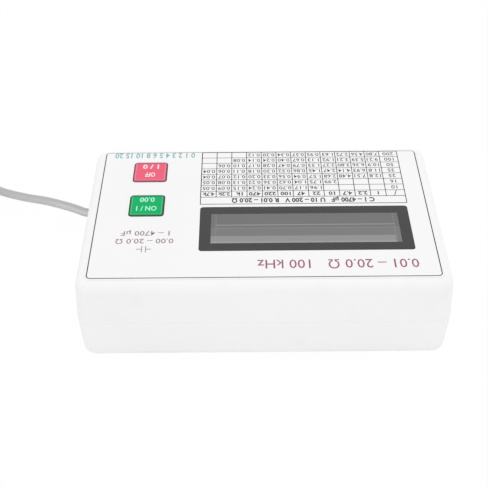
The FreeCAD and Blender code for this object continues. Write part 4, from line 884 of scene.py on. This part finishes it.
def rounded_outline(length, width, radius, steps=6):
    """Points round a rectangle about the origin, with arcs at its corners."""
    points = []
    for quarter, (sign_x, sign_y) in enumerate([(1, 1), (-1, 1), (-1, -1), (1, -1)]):
        for step in range(steps + 1):
            angle = math.pi / 2 * (quarter + step / steps)
            points.append((sign_x * (length / 2 - radius) + radius * math.cos(angle),
                           sign_y * (width / 2 - radius) + radius * math.sin(angle)))
    return points


def outline_mesh(length, near, far, radius, line, far_line):
    """A closed printed line from its near side to its far side, as a thin frame with a finer far side."""
    work = bmesh.new()
    rings = []
    for level in (LABEL_TOP - INK_SINK, LABEL_TOP + INK_THICKNESS - INK_SINK):
        for inward, far_inward in ((0, 0), (line, far_line)):
            top = near - inward
            foot = far + far_inward
            points = rounded_outline(length - 2 * inward, top - foot, radius - inward)
            middle = (top + foot) / 2
            rings.append([work.verts.new(Vector((x, y + middle, level)) * MM) for x, y in points])
    outer_low, inner_low, outer_high, inner_high = rings
    around = [outer_low, outer_high, inner_high, inner_low, outer_low]
    count = len(outer_low)
    for first in range(count):
        after = (first + 1) % count
        for one, two in zip(around, around[1:]):
            work.faces.new((one[first], one[after], two[after], two[first]))
    bmesh.ops.recalc_face_normals(work, faces=work.faces)
    mesh = bpy.data.meshes.new("outline")
    work.to_mesh(mesh)
    work.free()
    return mesh


# The printed table: a heading, a row of capacitances and a row for each voltage
TABLE_LEFT = -51.0
TABLE_RIGHT = 21.75
TABLE_TOP = -3.72
HEADING_FOOT = -7.9
COLUMN_STEP = 5.5
COLUMNS = 12
ROW_STEP = 3.48
ROWS = 7
TABLE_FOOT = HEADING_FOOT - ROW_STEP * (ROWS + 1)
FIRST_COLUMN = TABLE_RIGHT - COLUMN_STEP * COLUMNS
VOLTAGE_MIDDLE = (TABLE_LEFT + FIRST_COLUMN) / 2

COLUMN_LINE = 0.28
SIDE_LINE = 0.3
TOP_LINE = 0.38
HEADING_LINE = 0.34
ROW_LINE = 0.29
NUMBER_HEIGHT = 1.95
NUMBER_WEIGHT = 0.03

CAPACITANCES = ["1", "2.2", "4.7", "10", "22", "47", "100", "220", "470", "1k", "2.2k", "4.7k"]
VOLTAGES = [10, 16, 25, 35, 50, 100, 200]

# How many cells are empty at the start and at the end of a row
EMPTY_START = {1: 4, 2: 3}
EMPTY_END = {5: 1, 6: 2, 7: 3}

# The resistance for one microfarad at the lowest voltage, and how it falls with both
TOP_OHMS = 16.0
CAPACITANCE_POWER = 0.68
VOLTAGE_POWER = 0.24


def column_middle(column):
    return FIRST_COLUMN + COLUMN_STEP * (column + 0.5)


def row_middle(row):
    return HEADING_FOOT - ROW_STEP * (row + 0.5)


def table_number(column, voltage):
    """A plausible resistance in ohms, falling with capacitance and voltage."""
    label = CAPACITANCES[column]
    microfarads = float(label.replace("k", "")) * (1000 if "k" in label else 1)
    fall = microfarads ** CAPACITANCE_POWER * (voltage / VOLTAGES[0]) ** VOLTAGE_POWER
    ohms = TOP_OHMS / fall
    return f"{ohms:.1f}" if ohms >= 10 else f"{ohms:.2f}"


def make_table():
    """The table's upright lines, its level lines and its numbers, as three pieces."""
    middle = (TABLE_RIGHT + TABLE_LEFT) / 2
    length = TABLE_RIGHT - TABLE_LEFT
    uprights = [
        bars((TABLE_RIGHT, (HEADING_FOOT + TABLE_FOOT) / 2), (COLUMN_LINE, HEADING_FOOT - TABLE_FOOT),
             INK_BLACK, count=COLUMNS + 1, step=(-COLUMN_STEP, 0)),
        bars((TABLE_RIGHT, (TABLE_TOP + TABLE_FOOT) / 2), (SIDE_LINE, TABLE_TOP - TABLE_FOOT),
             INK_BLACK, count=2, step=(-length, 0)),
    ]
    add_print("table_uprights", uprights, INK_BLACK)

    levels = [
        bars((middle, TABLE_TOP), (length, TOP_LINE), INK_GREY),
        bars((middle, HEADING_FOOT), (length, HEADING_LINE), INK_GREY),
        bars((middle, HEADING_FOOT - ROW_STEP), (length, ROW_LINE), INK_GREY,
             count=ROWS + 1, step=(0, -ROW_STEP)),
        words("/", VOLTAGE_MIDDLE, row_middle(0), height=ROW_STEP * 0.92, widest=4.0),
    ]
    add_print("table_levels", levels, INK_GREY)

    numbers = [words("C 1 – 4700 µF   U 10 – 200 V   R 0.01 – 20.0 Ω", middle, y=-5.8,
                     height=2.4, widest=50.5, weight=0.14)]
    for column, label in enumerate(CAPACITANCES):
        numbers.append(words(label, column_middle(column), row_middle(0),
                             NUMBER_HEIGHT, widest=4.3, weight=0.09))
    for row, voltage in enumerate(VOLTAGES, start=1):
        numbers.append(words(str(voltage), VOLTAGE_MIDDLE, row_middle(row),
                             NUMBER_HEIGHT, widest=5.2, weight=NUMBER_WEIGHT))
        for column in range(EMPTY_START.get(row, 0), COLUMNS - EMPTY_END.get(row, 0)):
            numbers.append(words(table_number(column, voltage), column_middle(column), row_middle(row),
                                 NUMBER_HEIGHT, widest=4.4, weight=NUMBER_WEIGHT))
    add_print("table_numbers", numbers, INK_NUMBER)


# Two lines of notes, and over them a capacitor's symbol of two plates with a leg each
NOTES_X = 40.0
SYMBOL_Y = 20.8
PLATE_SIZE = (0.3, 3.4)
PLATE_STEP = 1.3
LEG_SIZE = (1.7, 0.35)
LEG_STEP = 3.3


def make_panel_print():
    """The panel's outline, and the ranges, the mark and the scale that stand on it."""
    outline = outline_mesh(length=115.6, near=35.6, far=-36.06, radius=1.5, line=0.36, far_line=0.2)
    add_piece("panel_outline", outline, INK_BLACK)
    add_print("title_range", [
        words("0.01 – 20.0 Ω   100 kHz", x=-24.35, y=29.05, height=4.4, widest=53.0, weight=0.03),
    ], INK_MAGENTA)
    add_print("range_notes", [
        words("0.00 – 20.0 Ω", NOTES_X, y=16.6, height=2.5, widest=20.0, weight=0.04),
        words("1 – 4700 µF", NOTES_X, y=12.4, height=2.5, widest=18.0, weight=0.04),
    ], INK_ROSE)
    add_print("capacitor_mark", [
        bars((NOTES_X - PLATE_STEP / 2, SYMBOL_Y), PLATE_SIZE, INK_FAINT, count=2, step=(PLATE_STEP, 0)),
        bars((NOTES_X - LEG_STEP / 2, SYMBOL_Y), LEG_SIZE, INK_FAINT, count=2, step=(LEG_STEP, 0)),
    ], INK_FAINT)
    add_print("number_scale", [
        words("0 1 2 3 4 5 6 8 10 15 20", x=39.45, y=-34.1, height=3.2, widest=29.9, weight=0.1),
    ], INK_TEAL)


# Each key's upper and lower legend with its width, and the colour of both
LEGENDS = {
    "on_key": (("ON / 1", 7.2), ("0.00", 5.3), (0.42, 0.96, 0.68)),
    "off_key": (("OFF", 3.7), ("1 / 0", 6.5), (0.99, 0.82, 0.87)),
}
LEGEND_WEIGHT = 0.1
UPPER_LEGEND = 2.05
LOWER_LEGEND = -2.95


def make_legends():
    """Two lines of print on each key, which ride on it."""
    for key, ((upper, upper_width), (lower, lower_width), colour) in LEGENDS.items():
        cap = f"{key}_cap"
        centre = middle_mm(cap)
        lines = [
            words(upper, centre.x, centre.y + UPPER_LEGEND, height=2.55, widest=upper_width,
                  weight=LEGEND_WEIGHT, level=KEY_TOP),
            words(lower, centre.x, centre.y + LOWER_LEGEND, height=2.5, widest=lower_width,
                  weight=LEGEND_WEIGHT, level=KEY_TOP),
        ]
        add_print(f"{key}_legend", lines, ink(f"ink_{key}", colour), key)


# The display's character cells
CELL_GREY = (0.17, 0.172, 0.17)
CELL_SIZE = (2.96, 4.86)
CELL_STEP = 3.55
CELL_ROW_OFFSET = 2.95
CELLS = 16


def make_display_cells():
    """Two rows of sixteen faint character cells on the display glass."""
    finish = ink("display_cell", CELL_GREY, roughness=0.35)
    centre = middle_mm("display_lens")
    first_x = centre.x - CELL_STEP * (CELLS - 1) / 2
    rows = [
        bars((first_x, centre.y + side * CELL_ROW_OFFSET), CELL_SIZE, finish,
             count=CELLS, step=(CELL_STEP, 0), level=GLASS_TOP)
        for side in (-1, 1)
    ]
    add_print("display_cells", rows, finish)


# Ribs of a probe handle, from the end where its lead enters
RIB_COUNT = 14
RIB_STEP = 1.5
RIBS_START = 22.0
RIB_RADIUS = 3.72
RIB_THICKNESS = 0.28


def make_grip_ribs():
    """Fine ribs round the probe handles."""
    for colour in ("red", "black"):
        node = f"{colour}_probe_handle"
        centre = middle_mm(node)
        lead_end = box_mm(node)[1].y
        finish = SLOT_FINISH[f"probe_{colour}"]
        mesh = RINGS.mesh("rings", {
            "Count": RIB_COUNT,
            "First": Vector((centre.x, lead_end - RIBS_START, centre.z)) * MM,
            "Step": Vector((0, -RIB_STEP, 0)) * MM,
            "Radius": RIB_RADIUS * MM,
            "Thickness": RIB_THICKNESS * MM,
            "Finish": finish.material,
        })
        add_piece(f"{colour}_grip_ribs", mesh, finish)


# Leads

def add_cord(name, route, diameter, finish):
    """A lead as one smooth spline, along a route in millimetres."""
    curve = bpy.data.curves.new(name, "CURVE")
    curve.dimensions = "3D"
    curve.bevel_depth = diameter / 2 * MM
    curve.bevel_resolution = 6
    curve.resolution_u = 8
    curve.use_fill_caps = True
    curve.twist_mode = "Z_UP"
    spline = curve.splines.new("NURBS")
    spline.points.add(len(route) - 1)
    for point, place in zip(spline.points, route):
        point.co = (*(Vector(place) * MM), 1)
    spline.order_u = 3
    spline.use_endpoint_u = True
    piece = add_object(name, curve)
    curve.materials.append(finish.material)
    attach(piece, "case")
    return piece


LEAD_DIAMETER = 3.3
THIN_DIAMETER = 2.0

# The coil of the spare length, in two layers, and the straight runs at its ends
COIL_MIDDLE = Vector((133.5, -47.2, 0))
COIL_INNER = 12.45
COIL_PITCH = 3.6
COIL_FLOOR = 2.5
COIL_START = math.radians(-129)
COIL_QUARTERS = 18
QUARTERS_PER_TURN = 4
POINTS_PER_QUARTER = 4
COIL_STUB = 3.0
COIL_RUN_IN = 8.1
COIL_RUN_OUT = 7.0

# From the grommet to the coil, and from the coil to the split
LEAD_TO_COIL = [
    (59.0, -27.3, 9.6),
    (65.9, -27.3, 9.6),
    (71.6, -31.2, 9.3),
    (77.6, -35.0, 8.4),
    (84.2, -39.5, 6.9),
    (91.0, -43.3, 5.2),
    (98.2, -47.6, 3.7),
    (104.9, -51.5, 2.8),
]
LEAD_TO_SPLIT = [
    (133.6, -19.6, 4.3),
    (130.6, -13.0, 2.9),
    (129.6, -6.4, 2.1),
    (129.6, -1.0, 2.1),
]

# From the split to the probes
RED_ROUTE = [
    (128.2, 13.0, 2.1),
    (128.2, 19.5, 2.1),
    (127.5, 28.0, 1.0),
    (128.4, 41.0, 1.0),
    (142.5, 54.3, 1.0),
    (162.7, 54.3, 1.0),
    (175.6, 44.5, 3.0),
    (177.0, 36.5, 5.0),
    (177.0, 30.0, 5.0),
]
BLACK_ROUTE = [
    (131.0, 13.0, 2.1),
    (131.0, 19.5, 2.1),
    (131.5, 28.0, 1.0),
    (131.4, 38.5, 1.0),
    (140.4, 46.8, 1.0),
    (153.8, 47.2, 1.0),
    (161.8, 41.4, 2.8),
    (163.0, 33.5, 5.0),
    (163.0, 27.0, 5.0),
]


def coil_radius(quarter):
    """Smallest halfway along the coil, and a pitch larger with each turn from there."""
    return COIL_INNER + COIL_PITCH * abs(quarter - COIL_QUARTERS / 2) / QUARTERS_PER_TURN


def coil_angle(quarter):
    return COIL_START + quarter * math.pi / 2


def coil_point(quarter):
    """A point of the two-layer coil: inwards on the floor, up and outwards again on top."""
    climbed = min(max((quarter - COIL_QUARTERS / 2 + 1) / 2, 0), 1)
    angle = coil_angle(quarter)
    # The spline runs nearer the middle than its points, by this factor, so they lie farther out
    draw_in = 0.75 + 0.25 * math.cos(math.pi / 2 / POINTS_PER_QUARTER)
    out = Vector((math.cos(angle), math.sin(angle), 0))
    rise = Vector((0, 0, COIL_FLOOR + COIL_PITCH * climbed))
    return COIL_MIDDLE + out * (coil_radius(quarter) / draw_in) + rise


def coil_direction(quarter):
    """The way the lead runs at a place of the coil, seen from above."""
    angle = coil_angle(quarter)
    out = Vector((math.cos(angle), math.sin(angle), 0))
    forward = Vector((-math.sin(angle), math.cos(angle), 0))
    drift = math.copysign(COIL_PITCH / (2 * math.pi), quarter - COIL_QUARTERS / 2)
    return (forward * coil_radius(quarter) + out * drift).normalized()


def make_grey_lead():
    """The long lead, from the grommet through the coil to the split."""
    count = COIL_QUARTERS * POINTS_PER_QUARTER
    coil = [coil_point(step / POINTS_PER_QUARTER) for step in range(count + 1)]
    inward = coil_direction(0)
    outward = coil_direction(COIL_QUARTERS)
    start = coil[0] - inward * COIL_STUB
    end = coil[-1] + outward * COIL_STUB
    route = [*LEAD_TO_COIL, start - inward * COIL_RUN_IN, start, *coil,
             end, end + outward * COIL_RUN_OUT, *LEAD_TO_SPLIT]
    lead = add_cord("grey_lead", route, LEAD_DIAMETER, jacket_finish())
    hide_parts("test_lead", "lead_coil", "lead_tail")


def make_thin_leads():
    """The red and the black lead, from the split to the probes."""
    red = add_cord("red_thin_lead", RED_ROUTE, THIN_DIAMETER, SLOT_FINISH["wire_red"])
    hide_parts("red_lead")

    black = add_cord("black_thin_lead", BLACK_ROUTE, THIN_DIAMETER, SLOT_FINISH["wire_black"])
    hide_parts("black_lead")


# Camera, ground and light

# The viewpoint, in millimetres
CAMERA_PLACE = Vector((6.48, 287.25, 251.8))
CAMERA_FORWARD = Vector((0, -0.7735, -0.6338)).normalized()
CAMERA_ROLL = math.radians(0.48)
CAMERA_SENSOR = 36.0
CAMERA_LENS = 76.44

# The room, the ground and the lamp, in metres
PLAIN_WHITE = (1, 1, 1, 1)
ROOM_LIGHT = 0.945
GROUND_WHITE = (0.96, 0.96, 0.96, 1)
GROUND_OWN_WHITE = 0.97
GROUND_HALF_SIDE = 20.0
LAMP_PLACE = Vector((-0.1, 0.0, 1.0))
LAMP_AIM = Vector((0, 0, 0))
LAMP_SIZE = 0.5
LAMP_POWER = 0.5


def add_camera():
    """The photograph's viewpoint: behind the panel, looking down at it."""
    data = bpy.data.cameras.new("viewpoint")
    data.sensor_width = CAMERA_SENSOR
    data.lens = CAMERA_LENS
    data.clip_start = 0.01
    data.clip_end = 20.0
    level = Vector((-1, 0, 0))
    down = CAMERA_FORWARD.cross(level)
    right = level * math.cos(CAMERA_ROLL) + down * math.sin(CAMERA_ROLL)
    upright = level * math.sin(CAMERA_ROLL) - down * math.cos(CAMERA_ROLL)
    turn = Matrix((right, upright, -CAMERA_FORWARD)).transposed().to_4x4()
    camera = add_object("viewpoint", data)
    camera.matrix_world = Matrix.Translation(CAMERA_PLACE * MM) @ turn
    bpy.context.scene.camera = camera


def seen_ray(tree):
    """1 for rays from the camera, a reflection or a clear piece, and 0 for light."""
    paths = tree.nodes.new("ShaderNodeLightPath")
    total = paths.outputs["Is Camera Ray"]
    for name in ("Is Glossy Ray", "Is Transmission Ray"):
        most = tree.nodes.new("ShaderNodeMath")
        most.operation = "MAXIMUM"
        tree.links.new(total, most.inputs[0])
        tree.links.new(paths.outputs[name], most.inputs[1])
        total = most.outputs[0]
    return total


def link_choice(tree, factor, first, second, surface):
    """Feeds a surface socket with a Mix Shader of two shaders."""
    choice = tree.nodes.new("ShaderNodeMixShader")
    for source, socket in zip((factor, first, second), choice.inputs):
        tree.links.new(source, socket)
    tree.links.new(choice.outputs[0], surface)


def add_world():
    """A white room that gives soft light, and looks plain white where it is seen."""
    world = bpy.data.worlds.new("white_room")
    world.use_nodes = True
    tree = world.node_tree
    light = tree.nodes["Background"]
    light.inputs["Color"].default_value = PLAIN_WHITE
    light.inputs["Strength"].default_value = ROOM_LIGHT
    backdrop = tree.nodes.new("ShaderNodeBackground")
    backdrop.inputs["Color"].default_value = PLAIN_WHITE
    link_choice(tree, seen_ray(tree), light.outputs[0], backdrop.outputs[0],
                tree.nodes["World Output"].inputs["Surface"])
    bpy.context.scene.world = world


def add_ground():
    """A white ground that takes a faint shadow."""
    mesh = bpy.data.meshes.new("ground")
    side = GROUND_HALF_SIDE
    corners = [(-side, -side, 0), (side, -side, 0), (side, side, 0), (-side, side, 0)]
    mesh.from_pydata(corners, [], [(0, 1, 2, 3)])
    ground = add_object("ground", mesh)
    finish = Finish("ground_white", base_color=GROUND_WHITE, roughness=0.9, specular_ior_level=0.0)
    tree = finish.tree
    own_white = Reading(finish, seen_ray(tree)) * GROUND_OWN_WHITE
    white = tree.nodes.new("ShaderNodeEmission")
    link_choice(tree, own_white.socket, finish.shader.outputs[0], white.outputs[0],
                tree.nodes["Material Output"].inputs["Surface"])
    mesh.materials.append(finish.material)


def add_lamp():
    """One soft round lamp, high over the object."""
    data = bpy.data.lights.new("overhead", "AREA")
    data.shape = "DISK"
    data.size = LAMP_SIZE
    data.energy = LAMP_POWER
    lamp = add_object("overhead", data)
    lamp.location = LAMP_PLACE
    lamp.rotation_euler = (LAMP_AIM - LAMP_PLACE).to_track_quat("-Z", "Y").to_euler()


def add_stage():
    """Everything round the object, with colours shown as they are."""
    add_camera()
    add_world()
    add_ground()
    add_lamp()
    bpy.context.scene.view_settings.view_transform = "Standard"


add_stage()
dress_nodes()
make_grey_lead()
make_thin_leads()
make_table()
make_panel_print()
make_legends()
make_display_cells()
make_grip_ribs()
